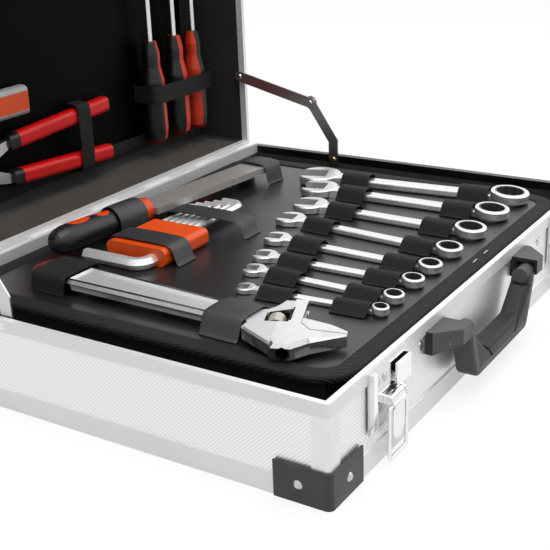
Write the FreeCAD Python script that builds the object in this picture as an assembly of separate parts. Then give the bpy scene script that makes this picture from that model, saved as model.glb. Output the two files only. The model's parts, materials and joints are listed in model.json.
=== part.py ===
import FreeCAD, Part
import math
import os

# Case envelope: base tray, lid tray and the gap between their closed rims
case_width = 488.0
case_depth = 368.0
base_height = 73.0
lid_height = 68.0
rim_gap = 0.5
edge_radius = 3.0

# Aluminium profiles, wall panels and lining
skin = 1.0
panel = 2.5
lip = 0.8
web = 1.2
floor_thickness = 3.0
lining = 1.5
base_rim_height = 10.0
lid_rim_height = 7.0
band_height = 16.0
band_leg = 12.0
post_leg = 13.0

# Plastic corner caps and the common dome rivet
cap_thickness = 1.6
cap_reach = 40.0
cap_height = 26.0
rivet_head_radius = 3.2
rivet_head_height = 1.2
rivet_crown_share = 0.6
rivet_shank_radius = 1.5
cap_rivet_inset = 22.0
cap_rivet_height = 13.0

# Clearances, and one overrun for every cut
overrun = 1.0
seat_clearance = 0.05
running_clearance = 0.05
free_clearance = 0.3

# Piano hinge on the back wall
hinge_end_inset = 24.0
hinge_offset = 2.6
hinge_drop = 5.0
knuckle_radius = 2.3
knuckle_count = 11
hinge_pin_radius = 1.2
leaf_thickness = 1.0
leaf_height = 11.0
leaf_rivet_count = 5
leaf_rivet_drop = 7.5
leaf_rivet_rise = 11.0
lid_leaf_height = 15.0

# Folding lid stays inside both side walls
stay_base_reach = 102.0
stay_base_drop = 6.0
stay_lid_reach = 76.0
stay_lid_rise = 3.5
stay_lower_length = 64.0
stay_upper_length = 90.0
stay_kink_rise = 20.0
stay_width = 11.0
stay_thickness = 1.6
stay_wall_gap = 1.4
stay_rivet_radius = 2.2
stay_rivet_head_radius = 3.0
stay_rivet_head_height = 1.4
stay_collar_radius = 3.0
elbow_disc_radius = 7.0

# Draw latches on the front wall
latch_share = 0.6885
latch_width = 54.0
latch_top_drop = 2.5
latch_height = 43.0
latch_plate_thickness = 1.2
cheek_width = 5.0
cheek_proud = 3.4
cheek_taper = 16.0
cover_width = 21.0
cover_drop = 8.0
cover_height = 17.0
cover_proud = 4.2
cover_thickness = 1.2
latch_pin_drop = 28.0
latch_pin_out = 4.8
latch_pin_radius = 1.3
lug_thickness = 1.8
lug_radius = 2.8
barrel_radius = 2.6
lever_width = 17.0
lever_shift = 3.0
lever_length = 31.0
lever_thickness = 1.8
lever_set = 0.8
bail_arm = 5.0
bail_out = 1.7
bail_boss_radius = 2.4
bail_reach = 37.5
bail_wire_radius = 1.3
bail_half_width = 12.5
bail_bend_radius = 3.0
bail_stub = 4.0
latch_rivet_drop = 12.5
latch_rivet_insets = (11.0, 21.0)

# Lid catches that the bails hook over
catch_width = 24.0
catch_height = 18.0
catch_thickness = 1.2
catch_lip_height = 2.4
catch_rivet_rise = 14.0
catch_rivet_spread = 7.0

# Carrying handle and its brackets, set a little left of the middle
handle_shift = -13.0
handle_reach_share = 0.3934
bracket_length = 29.0
bracket_tip_inset = 16.0
bracket_out = 21.0
bracket_end_out = 5.0
bracket_top_drop = 8.0
bracket_height = 17.0
bracket_tip_height = 12.0
bracket_roof = 3.0
pocket_length = 11.0
pocket_margin = 2.6
handle_pin_drop = 18.0
handle_pin_out = 12.0
handle_pin_radius = 2.5
handle_pin_length = 31.0
eye_radius = 6.0
eye_length = 24.0
handle_depth = 17.0
arm_gap = 1.0
arm_lean = 15.0
handle_bottom_drop = 59.5
shell_thickness = 7.0
grip_inner_inset = 18.0
grip_top_drop = 41.0
grip_start_drop = 25.0
grip_start_inset = 16.0
corner_round = 9.0
shell_edge_round = 3.0
grip_edge_round = 5.5
groove_width = 1.6
groove_depth = 0.9
groove_shares = (0.12, 0.48, 0.88)
handle_rivet_share = 0.656
handle_rivet_drop = 16.0
handle_ring_radius = 4.2

# Removable tool pallet in the base
pallet_side_inset = 32.0
pallet_end_inset = 9.0
pallet_drop = 6.5
pallet_thickness = 3.5
pallet_radius = 28.0
binding_width = 14.0
binding_thickness = 1.2
binding_edge = 1.6
support_width = 12.0
support_end_inset = 21.5
support_inset = 6.0
staple_length = 8.0
staple_wire = 1.0
staple_spacing = 22.0
staple_offset = 34.0

# Combination wrenches: size across flats, length, and place across the pallet
wrench_sizes = (22.0, 19.0, 17.0, 14.0, 12.0, 11.0, 10.0, 8.0)
wrench_lengths = (230.0, 207.0, 188.0, 182.0, 164.0, 150.0, 140.0, 124.0)
wrench_ring_shares = (0.862, 0.626, 0.377, 0.141, -0.049, -0.204, -0.367, -0.484)
wrench_open_shares = (0.787, 0.620, 0.398, 0.203, -0.025, -0.214, -0.355, -0.517)
wrench_front_inset = 20.0
ring_outer_share = 0.80
ring_height_share = 0.20
ring_web_height = 5.2
ring_crest_share = 0.16
ring_foot_share = 0.40
ring_tilt = 5.0
jaw_outer_share = 0.97
jaw_height_share = 0.30
jaw_round_share = 0.2
jaw_turn = 15.0
jaw_root_share = 0.35
shank_width_share = 0.50
shank_height_share = 0.26
shank_round_share = 0.3
wrench_web_height = 1.6
wrench_web_width = 2.6
neck_width_share = 1.15
neck_reach_share = 0.55
wrench_lift = 0.3

# Elastic loops sewn over each wrench
loop_width = 28.0
loop_thickness = 1.2
loop_flange = 3.0
loop_ring_gap = 0.8
loop_jaw_gap = 6.0

# Adjustable wrench lying along the left of the pallet
adjustable_across_share = -0.7925
adjustable_root_inset = 52.8
adjustable_tail_reach = 243.0
adjustable_tail_width = 35.0
adjustable_neck_width = 25.0
adjustable_neck_reach = 25.0
adjustable_axis_shift = -2.5
adjustable_lean = 2.1
adjustable_handle_height = 9.0
adjustable_head_height = 13.0
adjustable_bevel = 2.2
adjustable_recess = 1.6
adjustable_recess_margin = 5.0
adjustable_recess_front_share = 0.19
adjustable_recess_back_share = 0.82
adjustable_hang_radius = 6.5
adjustable_hang_inset = 15.0
head_turn = 22.5
head_half = 42.0
head_back_shares = ((0.93, 0.41), (0.70, 0.52), (0.55, 0.66), (0.42, 0.98), (0.16, 0.98), (0.02, 0.88),
                    (-0.17, 0.94), (-0.72, 0.42))
fixed_jaw_side_shares = ((-0.85, 0.36), (-0.87, 0.05), (-0.62, -0.22))
head_bevel = 2.6
neck_step = 1.2
pad_back_share = 0.39
pad_side_share = 0.21
pad_along_share = 0.02
jaw_length = 32.0
jaw_tip_width = 3.0
jaw_tip_drop = 2.4
mouth_shift = 10.6
mouth_bevel_depth = 7.0
mouth_bevel_run = 10.0
movable_jaw_width = 19.0
movable_jaw_shoulder_share = 0.61
jaw_waist_share = 0.6
jaw_bevel = 1.6
jaw_opening = 0.8
rail_length = 39.0
channel_radius = 4.4
channel_depth = 7.5
slot_width = 5.0
worm_radius = 6.4
worm_length = 12.5
worm_core_radius = 5.2
worm_pin_radius = 1.4
worm_pin_seat = 4.0
worm_pitch = 2.5
worm_along_share = 0.25
worm_window_gap = 1.0
window_flare = 8.0

# Hex key set in its holder
holder_across_share = -0.322
holder_along_share = 0.458
holder_width = 60.0
holder_depth = 60.0
holder_height = 15.0
holder_round = 5.0
key_flats = (6.0, 5.0, 4.5, 4.0, 3.5, 3.0)
key_reaches = (84.0, 77.0, 71.0, 65.5, 60.5, 56.0)
key_arms = (20.0, 18.0, 17.0, 16.0, 15.0, 14.0)
key_pitch = 7.0
key_front_inset = 11.0
key_seat = 30.0
key_lift = 8.0
key_bend_share = 1.2
large_key_flats = 9.0
large_key_inset = 12.0
large_key_reach = 15.0
large_key_arm = 58.0

# Flat file along the back of the pallet
file_across_share = -0.078
file_along_share = 0.763
file_turn = -6.1
file_blade_length = 172.0
file_blade_width = 28.0
file_blade_height = 6.0
file_tang_width = 12.0
file_tang_length = 12.0
file_handle_length = 110.0
file_handle_radius = 12.5
file_handle_shares = ((0.0, 0.30), (0.012, 0.52), (0.035, 0.72), (0.07, 0.88), (0.12, 0.97), (0.19, 1.0),
                      (0.30, 0.99), (0.42, 0.95), (0.55, 0.90), (0.68, 0.87), (0.8, 0.86), (0.9, 0.80))
file_collar_share = 0.9
file_collar_radius = 12.0
file_collar_end_radius = 10.5

# Wide rubber straps sewn over the pallet tools
strap_thickness = 1.5
strap_width = 24.0
strap_foot = 9.0
strap_file_share = -0.25
grip_strap_width = 34.0
tip_strap_share = 0.94
tip_strap_foot = 6.0
keys_strap_offset = 36.0
keys_strap_span = 74.0
keys_strap_front = 5.0
adjustable_strap_gap = 1.5
adjustable_tail_strap_share = 0.885
adjustable_strap_width = 34.0

# Tool board in the lid
board_side_inset = 20.5
board_end_inset = 15.5
board_thickness = 4.0
board_radius = 20.0
board_binding_width = 12.0

# Pliers strapped along the lower edge of the lid board
pliers_pivot_across_share = -0.43
pliers_pivot_along_share = -0.79
pliers_head_length = 58.0
pliers_head_width = 30.0
pliers_nose_width = 12.0
pliers_rivet_radius = 6.0
pliers_rivet_head = 1.5
pliers_neck_length = 28.0
pliers_handle_length = 154.0
pliers_handle_spread = 23.5
pliers_neck_spread = 16.0
pliers_tang_width = 8.0
pliers_tang_height = 6.0
pliers_grip_width = 15.0
pliers_grip_height = 13.0
pliers_grip_round = 5.0
pliers_lift = 0.4

# Knife strapped above the pliers
knife_across_share = -0.52
knife_along_share = -0.485
knife_length = 150.0
knife_width = 26.0
knife_height = 14.0
knife_round = 5.0

# Screwdrivers strapped upright at the right of the lid board
driver_across_shares = (0.62, 0.80, 0.952)
driver_bottom_inset = 4.0
driver_handle_length = 104.0
driver_handle_radius = 13.0
driver_handle_shares = ((0.0, 0.62), (0.04, 0.88), (0.14, 1.0), (0.62, 0.96), (0.76, 0.70), (0.88, 0.72),
                        (1.0, 0.50))
driver_shaft_radius = 3.0
driver_shaft_seat = 30.0
driver_shaft_lengths = (100.0, 125.0, 75.0)
driver_lift = 0.4

# Elastic straps on the lid board
lid_strap_width = 18.0
lid_strap_thickness = 1.2
lid_pliers_strap_share = 0.13
lid_driver_strap_share = -0.66
lid_knife_strap_share = -0.52

# Angles and directions
near_parallel_share = 0.99
X_AXIS = FreeCAD.Vector(1, 0, 0)
Y_AXIS = FreeCAD.Vector(0, 1, 0)
Z_AXIS = FreeCAD.Vector(0, 0, 1)
ORIGIN = FreeCAD.Vector(0, 0, 0)

# Places that several pieces share
half_width = case_width / 2
half_depth = case_depth / 2
inner_x = half_width - skin
inner_y = half_depth - skin
room_x = inner_x - panel
room_y = inner_y - panel
lip_x = room_x - lip
lip_y = room_y - lip
floor_top = floor_thickness + lining
hinge_length = case_width - hinge_end_inset - hinge_end_inset
hinge_y = half_depth + hinge_offset
hinge_z = base_height - hinge_drop
lid_low = base_height + rim_gap
lid_top = lid_low + lid_height
pallet_top = base_height - pallet_drop
pallet_low = pallet_top - pallet_thickness
pallet_half_x = room_x - pallet_side_inset
pallet_half_y = room_y - pallet_end_inset
latch_offset = half_width * latch_share
bracket_outer = half_width * handle_reach_share
bracket_inner = bracket_outer - bracket_length
bracket_tip = bracket_outer - bracket_tip_inset
arm_top_outer = bracket_inner - arm_gap
arm_bottom_outer = arm_top_outer - arm_lean
grip_start_half = arm_top_outer - grip_start_inset
grip_inner_half = arm_bottom_outer - grip_inner_inset
handle_room = latch_offset - latch_width / 2 + handle_shift
handle_rivet_offset = bracket_outer + (handle_room - bracket_outer) * handle_rivet_share
lever_centre = -latch_offset + lever_shift
latch_pin_z = base_height - latch_pin_drop
bail_z = latch_pin_z - bail_arm
bail_y = -half_depth - latch_pin_out - bail_out


def block(x_low, x_high, y_low, y_high, z_low, z_high):
    corner = FreeCAD.Vector(x_low, y_low, z_low)
    return Part.makeBox(x_high - x_low, y_high - y_low, z_high - z_low, corner)


def rod(start, axis, radius, length):
    return Part.makeCylinder(radius, length, start, axis)


def prism(points, sweep):
    return Part.Face(Part.makePolygon(points + points[:1])).extrude(sweep)


def edges_along(shape, axis):
    found = []
    for edge in shape.Edges:
        if edge.Curve.TypeId == "Part::GeomLine":
            if abs(edge.Curve.Direction.dot(axis)) > near_parallel_share:
                found.append(edge)
    return found


def round_edges(shape, edges, radius):
    return shape.makeFillet(radius, edges)


def slab(half_x, half_y, radius, z_low, z_high):
    body = block(-half_x, half_x, -half_y, half_y, z_low, z_high)
    return round_edges(body, edges_along(body, Z_AXIS), radius)


def ring(half_x, half_y, radius, wall, z_low, z_high):
    outer = slab(half_x, half_y, radius, z_low, z_high)
    inner = slab(half_x - wall, half_y - wall, radius - wall, z_low - overrun, z_high + overrun)
    return outer.cut(inner)


def mirror_x(shape):
    return shape.mirror(ORIGIN, X_AXIS)


def mirror_y(shape):
    return shape.mirror(ORIGIN, Y_AXIS)


def both_sides(shape):
    return [shape, mirror_x(shape)]


def four_corners(shape):
    return both_sides(shape) + both_sides(mirror_y(shape))


def moved(shape, x, y, z):
    copy = shape.copy()
    copy.translate(FreeCAD.Vector(x, y, z))
    return copy


def turned(shape, axis, angle):
    copy = shape.copy()
    copy.rotate(ORIGIN, axis, angle)
    return copy


def drilled(pieces, tools):
    return [piece.cut(tools) for piece in pieces]


def save(node, pieces):
    solids = [solid for piece in pieces for solid in piece.Solids]
    for solid in solids:
        if not solid.isValid():
            print("invalid solid in", node)
    Part.makeCompound(solids).exportStep("parts/" + node + ".step")
    print(node, len(solids))


# A lid piece is drawn as a tray, turned over onto the base, then opened
def to_closed(shape):
    return moved(turned(shape, X_AXIS, 180), 0, 0, lid_top)


def to_open(shape):
    copy = shape.copy()
    copy.rotate(FreeCAD.Vector(0, hinge_y, hinge_z), X_AXIS, -90)
    return copy


def lid_place(pieces):
    return [to_open(to_closed(piece)) for piece in pieces]


# Rivet with a flat-topped head outside and a shank through the walls
def rivet(seat, outward, grip, head_radius=rivet_head_radius):
    crown = head_radius * rivet_crown_share
    head = Part.makeCone(head_radius, crown, rivet_head_height, seat, outward)
    return head.fuse(rod(seat, outward * -1, rivet_shank_radius, grip))


def rivet_hole(seat, outward, grip):
    start = seat + outward * overrun
    return rod(start, outward * -1, rivet_shank_radius + seat_clearance, grip + overrun)


# Round or six-sided wire bent along straight runs
def bent_bar(points, bend, profile):
    edges = []
    start = points[0]
    for before, corner, after in zip(points, points[1:], points[2:]):
        back = (before - corner).normalize()
        ahead = (after - corner).normalize()
        half = back.getAngle(ahead) / 2
        inward = (back + ahead).normalize()
        first = corner + back * (bend / math.tan(half))
        last = corner + ahead * (bend / math.tan(half))
        middle = corner + inward * (bend / math.sin(half) - bend)
        edges.append(Part.LineSegment(start, first).toShape())
        edges.append(Part.Arc(first, middle, last).toShape())
        start = last
    edges.append(Part.LineSegment(start, points[-1]).toShape())
    return Part.Wire(edges).makePipeShell([profile], True, False)


def hex_points(flats):
    reach = flats / math.sqrt(3)
    turns = [math.radians(60 * step) for step in range(6)]
    return [(reach * math.cos(turn), reach * math.sin(turn)) for turn in turns]


# Strap or loop over a tool: an arch across X with sewn feet, run along Y
def arch(half_span, rise, thickness, foot, run):
    side = half_span + thickness
    top = rise + thickness
    right = [(half_span, 0), (side + foot, 0), (side + foot, thickness), (side, thickness), (side, top)]
    left = [(-x, z) for x, z in reversed(right)]
    inner = [(-half_span, rise), (half_span, rise)]
    points = [FreeCAD.Vector(x, -run / 2, z) for x, z in right + left + inner]
    return prism(points, FreeCAD.Vector(0, run, 0))


# Turned grip or handle: shares of its length and radius, spun about +Y
def spun(shares, length, radius):
    line = [FreeCAD.Vector(radius * wide, length * along, 0) for along, wide in shares]
    first = FreeCAD.Vector(0, line[0].y, 0)
    last = FreeCAD.Vector(0, line[-1].y, 0)
    outline = Part.makePolygon([first] + line + [last, first])
    return Part.Face(outline).revolve(ORIGIN, Y_AXIS, 360)


# Tray of panels and profiles, used for base and lid
def mitred(frame, z_low, z_high):
    far_x = half_width + overrun
    far_y = half_depth + overrun
    reach = band_leg + overrun + overrun
    rise = FreeCAD.Vector(0, 0, z_high - z_low)
    front = [(-far_x, -far_y), (far_x, -far_y), (far_x - reach, reach - far_y),
             (reach - far_x, reach - far_y)]
    left = [(-far_x, -far_y), (reach - far_x, reach - far_y), (reach - far_x, far_y - reach),
            (-far_x, far_y)]
    front_wedge = prism([FreeCAD.Vector(x, y, z_low) for x, y in front], rise)
    left_wedge = prism([FreeCAD.Vector(x, y, z_low) for x, y in left], rise)
    wedges = [front_wedge, mirror_y(front_wedge), left_wedge, mirror_x(left_wedge)]
    return [frame.common(wedge) for wedge in wedges]


def tray_walls(height):
    top = height - web
    core = slab(inner_x, inner_y, edge_radius - skin, 0, top)
    front = block(-inner_x, inner_x, -inner_y, -room_y, floor_thickness, top).common(core)
    side = block(-inner_x, -room_x, -room_y, room_y, floor_thickness, top)
    return [front, mirror_y(front), side, mirror_x(side)]


def tray_floor():
    well_x = half_width - band_leg
    well_y = half_depth - band_leg
    sheet = slab(inner_x, inner_y, edge_radius - skin, skin, floor_thickness)
    return [sheet.fuse(block(-well_x, well_x, -well_y, well_y, 0, skin)).removeSplitter()]


def tray_rim(height, rim_height):
    low = height - rim_height
    body = slab(half_width, half_depth, edge_radius, low, height)
    channel = slab(inner_x, inner_y, edge_radius - skin, low - overrun, height - web)
    channel = channel.cut(block(-room_x, room_x, -room_y, room_y, low - overrun, height))
    opening = block(-lip_x, lip_x, -lip_y, lip_y, low - overrun, height + overrun)
    return mitred(body.cut(channel).cut(opening), low, height)


def tray_band():
    well_x = half_width - band_leg
    well_y = half_depth - band_leg
    side = ring(half_width, half_depth, edge_radius, skin, 0, band_height)
    foot = slab(half_width, half_depth, edge_radius, 0, skin)
    foot = foot.cut(block(-well_x, well_x, -well_y, well_y, -overrun, band_height))
    near_x = half_width - cap_reach
    near_y = half_depth - cap_reach
    room = block(near_x, half_width + overrun, near_y, half_depth + overrun, -overrun, skin)
    return mitred(side.fuse(foot).cut(four_corners(room)), 0, band_height)


def tray_posts(height, rim_height):
    low = height - rim_height
    wall = ring(half_width, half_depth, edge_radius, skin, band_height, low)
    near_x = half_width - post_leg
    near_y = half_depth - post_leg
    corner = block(near_x, half_width + overrun, near_y, half_depth + overrun, band_height, low)
    return four_corners(wall.common(corner))


def tray_caps():
    out_x = half_width + cap_thickness
    out_y = half_depth + cap_thickness
    out_radius = edge_radius + cap_thickness
    well_x = half_width - band_leg
    well_y = half_depth - band_leg
    side = ring(out_x, out_y, out_radius, cap_thickness, 0, cap_height)
    foot = slab(out_x, out_y, out_radius, 0, skin)
    foot = foot.cut(block(-well_x, well_x, -well_y, well_y, -overrun, cap_height))
    corner = block(half_width - cap_reach, out_x, half_depth - cap_reach, out_y, 0, cap_height)
    return four_corners(side.fuse(foot).common(corner).removeSplitter())


def tray_lining(height, rim_height):
    low = height - rim_height
    front = block(-room_x, room_x, -room_y, lining - room_y, floor_top, low)
    side_y = room_y - lining
    side = block(-room_x, lining - room_x, -side_y, side_y, floor_top, low)
    bottom = block(-room_x, room_x, -room_y, room_y, floor_thickness, floor_top)
    return [front, mirror_y(front), side, mirror_x(side), bottom]


def cap_rivet_seats():
    front = FreeCAD.Vector(half_width - cap_rivet_inset, -half_depth - cap_thickness, cap_rivet_height)
    side = FreeCAD.Vector(-half_width - cap_thickness, cap_rivet_inset - half_depth, cap_rivet_height)
    return [(front, Y_AXIS * -1), (side, X_AXIS * -1)]


def cap_rivets(make):
    grip = cap_thickness + skin + panel
    pieces = [make(seat, outward, grip) for seat, outward in cap_rivet_seats()]
    return [copy for piece in pieces for copy in four_corners(piece)]


# Piano hinge, drawn with the lid closed
def knuckle_spans(first):
    pitch = hinge_length / knuckle_count
    gap = free_clearance / 2
    start = -hinge_length / 2
    return [(start + pitch * step + gap, start + pitch * (step + 1) - gap)
            for step in range(first, knuckle_count, 2)]


def hinge_bore():
    start = FreeCAD.Vector(-half_width, hinge_y, hinge_z)
    return rod(start, X_AXIS, hinge_pin_radius + running_clearance, case_width)


def knuckles(spans):
    return [rod(FreeCAD.Vector(low, hinge_y, hinge_z), X_AXIS, knuckle_radius, high - low) for low,
            high in spans]


def base_leaf():
    half = hinge_length / 2
    top = hinge_z - knuckle_radius - free_clearance
    out = half_depth + leaf_thickness
    plate = block(-half, half, half_depth, out, top - leaf_height, top)
    spans = knuckle_spans(0)
    tabs = [block(low, high, half_depth, out, top - leaf_thickness, hinge_z) for low, high in spans]
    return plate.fuse(tabs + knuckles(spans)).cut(hinge_bore()).removeSplitter()


def lid_leaf():
    half = hinge_length / 2
    low_edge = lid_low + free_clearance
    plate = block(-half, half, half_depth, half_depth + leaf_thickness, low_edge,
                  low_edge + lid_leaf_height)
    spans = knuckle_spans(1)
    near = half_depth + free_clearance
    tabs = [block(low, high, near, near + leaf_thickness, hinge_z, low_edge + leaf_thickness)
            for low, high in spans]
    return plate.fuse(tabs + knuckles(spans)).cut(hinge_bore()).removeSplitter()


def leaf_rivets(make, height):
    grip = leaf_thickness + skin + panel
    step = hinge_length / leaf_rivet_count
    places = [step * (count + 1 / 2) - hinge_length / 2 for count in range(leaf_rivet_count)]
    return [make(FreeCAD.Vector(x, half_depth + leaf_thickness, height), Y_AXIS, grip) for x in places]


# Lid stays: flat links that fold beside the right wall, mirrored to the left
stay_low_out = lip_x - stay_wall_gap
stay_low_in = stay_low_out - stay_thickness
stay_up_out = stay_low_in - free_clearance
stay_up_in = stay_up_out - stay_thickness


def stay_points():
    base = FreeCAD.Vector(0, half_depth - stay_base_reach, base_height - stay_base_drop)
    lid_closed = FreeCAD.Vector(0, half_depth - stay_lid_reach, lid_low + stay_lid_rise)
    lid = to_open(Part.Vertex(lid_closed)).Point
    span = lid - base
    reach = span.Length
    along = (stay_lower_length ** 2 - stay_upper_length ** 2 + reach ** 2) / (2 * reach)
    rise = math.sqrt(stay_lower_length ** 2 - along ** 2)
    unit = span * (1 / reach)
    elbow = base + unit * along + FreeCAD.Vector(0, -unit.z, unit.y) * rise
    return base, elbow, lid


def flat_link(points, x_low):
    solids = []
    half = stay_width / 2
    for start, end in zip(points, points[1:]):
        along = (end - start).normalize()
        across = FreeCAD.Vector(0, -along.z, along.y) * half
        corners = [start + across, end + across, end - across, start - across]
        corners = [FreeCAD.Vector(x_low, corner.y, corner.z) for corner in corners]
        solids.append(prism(corners, X_AXIS * stay_thickness))
    for point in points:
        solids.append(rod(FreeCAD.Vector(x_low, point.y, point.z), X_AXIS, half, stay_thickness))
    return solids[0].fuse(solids[1:]).removeSplitter()


def stay_hole(point, radius):
    start = FreeCAD.Vector(0, point.y, point.z)
    return rod(start, X_AXIS, radius, half_width + overrun)


def stay_lower():
    base, elbow, lid = stay_points()
    kink = base + Z_AXIS * stay_kink_rise
    link = flat_link([base, kink, elbow], stay_low_in)
    disc = rod(FreeCAD.Vector(stay_low_in, elbow.y, elbow.z), X_AXIS, elbow_disc_radius, stay_thickness)
    return link.fuse(disc).cut(stay_hole(base, stay_rivet_radius + running_clearance)).removeSplitter()


def stay_upper():
    base, elbow, lid = stay_points()
    link = flat_link([elbow, lid], stay_up_in)
    link = link.cut(stay_hole(lid, stay_rivet_radius + running_clearance))
    link = link.cut(stay_hole(elbow, rivet_shank_radius + seat_clearance))
    pin = rod(FreeCAD.Vector(stay_up_in, elbow.y, elbow.z), X_AXIS, rivet_shank_radius, stay_thickness)
    head = Part.makeCone(stay_rivet_head_radius, stay_rivet_radius, stay_rivet_head_height,
                         FreeCAD.Vector(stay_up_in, elbow.y, elbow.z), X_AXIS * -1)
    return [link, pin.fuse(head)]


def stay_pivot(point, link_out, link_in):
    head_x = link_in - running_clearance
    collar_x = link_out + running_clearance
    head = Part.makeCone(stay_rivet_head_radius, stay_rivet_radius, stay_rivet_head_height,
                         FreeCAD.Vector(head_x, point.y, point.z), X_AXIS * -1)
    shank = rod(FreeCAD.Vector(head_x, point.y, point.z), X_AXIS, stay_rivet_radius, half_width - head_x)
    collar = rod(FreeCAD.Vector(collar_x, point.y, point.z), X_AXIS, stay_collar_radius, lip_x - collar_x)
    crown = rivet_head_radius * rivet_crown_share
    dome = Part.makeCone(rivet_head_radius, crown, rivet_head_height,
                         FreeCAD.Vector(half_width, point.y, point.z), X_AXIS)
    return head.fuse([shank, collar, dome]).removeSplitter()


# Draw latch, drawn for the left and mirrored
def latch_plate():
    low_x = -latch_offset - latch_width / 2
    high_x = low_x + latch_width
    top = base_height - latch_top_drop
    low = top - latch_height
    face = -half_depth
    front = face - latch_plate_thickness
    plate = block(low_x, high_x, front, face, low, top)
    pad_top = base_height - base_rim_height - free_clearance
    pad = block(low_x + cheek_width, high_x - cheek_width, face, face + skin, low, pad_top)
    proud = front - cheek_proud
    cheek = [(front, top), (proud, top), (proud, low + cheek_taper), (front, low)]
    cheek = prism([FreeCAD.Vector(low_x, y, z) for y, z in cheek], X_AXIS * cheek_width)
    cover_top = base_height - cover_drop
    cover_low = cover_top - cover_height
    cover_y = face - cover_proud
    cover = block(high_x - cover_width, high_x, cover_y, cover_y + cover_thickness, cover_low, cover_top)
    side = block(high_x - cover_thickness, high_x, cover_y, front, cover_low, cover_top)
    pin_y = face - latch_pin_out
    lugs = []
    near = lever_width / 2 + free_clearance
    for lug_x in (lever_centre - near - lug_thickness, lever_centre + near):
        lugs.append(rod(FreeCAD.Vector(lug_x, pin_y, latch_pin_z), X_AXIS, lug_radius, lug_thickness))
        lugs.append(block(lug_x, lug_x + lug_thickness, pin_y, face, latch_pin_z - lug_radius,
                          latch_pin_z + lug_radius))
    body = plate.fuse([pad, cheek, cover, side] + lugs)
    return body.cut([latch_pin(seat_clearance)] + latch_rivets(rivet_hole)).removeSplitter()


def latch_pin(clearance):
    length = lever_width + lug_thickness + lug_thickness + free_clearance + free_clearance
    start = FreeCAD.Vector(lever_centre - length / 2, -half_depth - latch_pin_out, latch_pin_z)
    return rod(start, X_AXIS, latch_pin_radius + clearance, length)


def latch_rivets(make):
    low_x = -latch_offset - latch_width / 2
    seat_y = -half_depth - latch_plate_thickness
    grip = latch_plate_thickness + skin + panel
    seat_z = base_height - latch_rivet_drop
    return [make(FreeCAD.Vector(low_x + inset, seat_y, seat_z), Y_AXIS * -1,
                 grip) for inset in latch_rivet_insets]


def latch_lever():
    half = lever_width / 2
    low_x = lever_centre - half
    pin_y = -half_depth - latch_pin_out
    back = pin_y - lever_set
    tip_z = latch_pin_z - lever_length + half
    barrel = rod(FreeCAD.Vector(low_x, pin_y, latch_pin_z), X_AXIS, barrel_radius, lever_width)
    tongue = block(low_x, low_x + lever_width, back - lever_thickness, back, tip_z, latch_pin_z)
    tip = rod(FreeCAD.Vector(lever_centre, back - lever_thickness, tip_z), Y_AXIS, half, lever_thickness)
    boss = rod(FreeCAD.Vector(low_x, bail_y, bail_z), X_AXIS, bail_boss_radius, lever_width)
    bore = bail_wire_radius + running_clearance
    depth = bail_stub + free_clearance
    left_bore = rod(FreeCAD.Vector(low_x, bail_y, bail_z), X_AXIS, bore, depth)
    right_bore = rod(FreeCAD.Vector(low_x + lever_width, bail_y, bail_z), X_AXIS * -1, bore, depth)
    body = barrel.fuse([tongue, tip, boss])
    return body.cut([latch_pin(running_clearance), left_bore, right_bore]).removeSplitter()


def latch_bail():
    stub = lever_width / 2 - bail_stub
    low = bail_z - bail_reach
    places = [(-stub, bail_z), (-bail_half_width, bail_z), (-bail_half_width, low),
              (bail_half_width, low), (bail_half_width, bail_z), (stub, bail_z)]
    points = [FreeCAD.Vector(lever_centre + x, bail_y, z) for x, z in places]
    profile = Part.Wire(Part.makeCircle(bail_wire_radius, points[0], X_AXIS))
    return bent_bar(points, bail_bend_radius, profile)


# Catch on the lid front, drawn with the lid closed
def catch_rivets(make):
    seat_y = -half_depth - catch_thickness
    grip = catch_thickness + skin + panel
    seat_z = lid_low + catch_rivet_rise
    return [make(FreeCAD.Vector(lever_centre + side * catch_rivet_spread, seat_y, seat_z), Y_AXIS * -1,
                 grip)
            for side in (-1, 1)]


def lid_catch():
    half = catch_width / 2
    face = -half_depth
    plate = block(lever_centre - half, lever_centre + half, face - catch_thickness, face, lid_low,
                  lid_low + catch_height)
    hook = bail_half_width - bail_bend_radius
    lip_in = bail_y - bail_wire_radius - free_clearance
    shelf_top = bail_z + bail_reach - bail_wire_radius - free_clearance
    shelf_low = shelf_top - catch_thickness
    shelf = block(lever_centre - hook, lever_centre + hook, lip_in - catch_thickness, face, shelf_low,
                  shelf_top)
    lip_top = shelf_top + catch_lip_height
    upturn = block(lever_centre - hook, lever_centre + hook, lip_in - catch_thickness, lip_in, shelf_low,
                   lip_top)
    return plate.fuse([shelf, upturn]).cut(catch_rivets(rivet_hole)).removeSplitter()


# Handle bracket, drawn for the right about the middle of the handle
def handle_pin(clearance, length):
    start = bracket_outer - (bracket_outer - bracket_inner - pocket_length) / 2 - length
    place = FreeCAD.Vector(start, -half_depth - handle_pin_out, base_height - handle_pin_drop)
    return rod(place, X_AXIS, handle_pin_radius + clearance, length)


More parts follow.
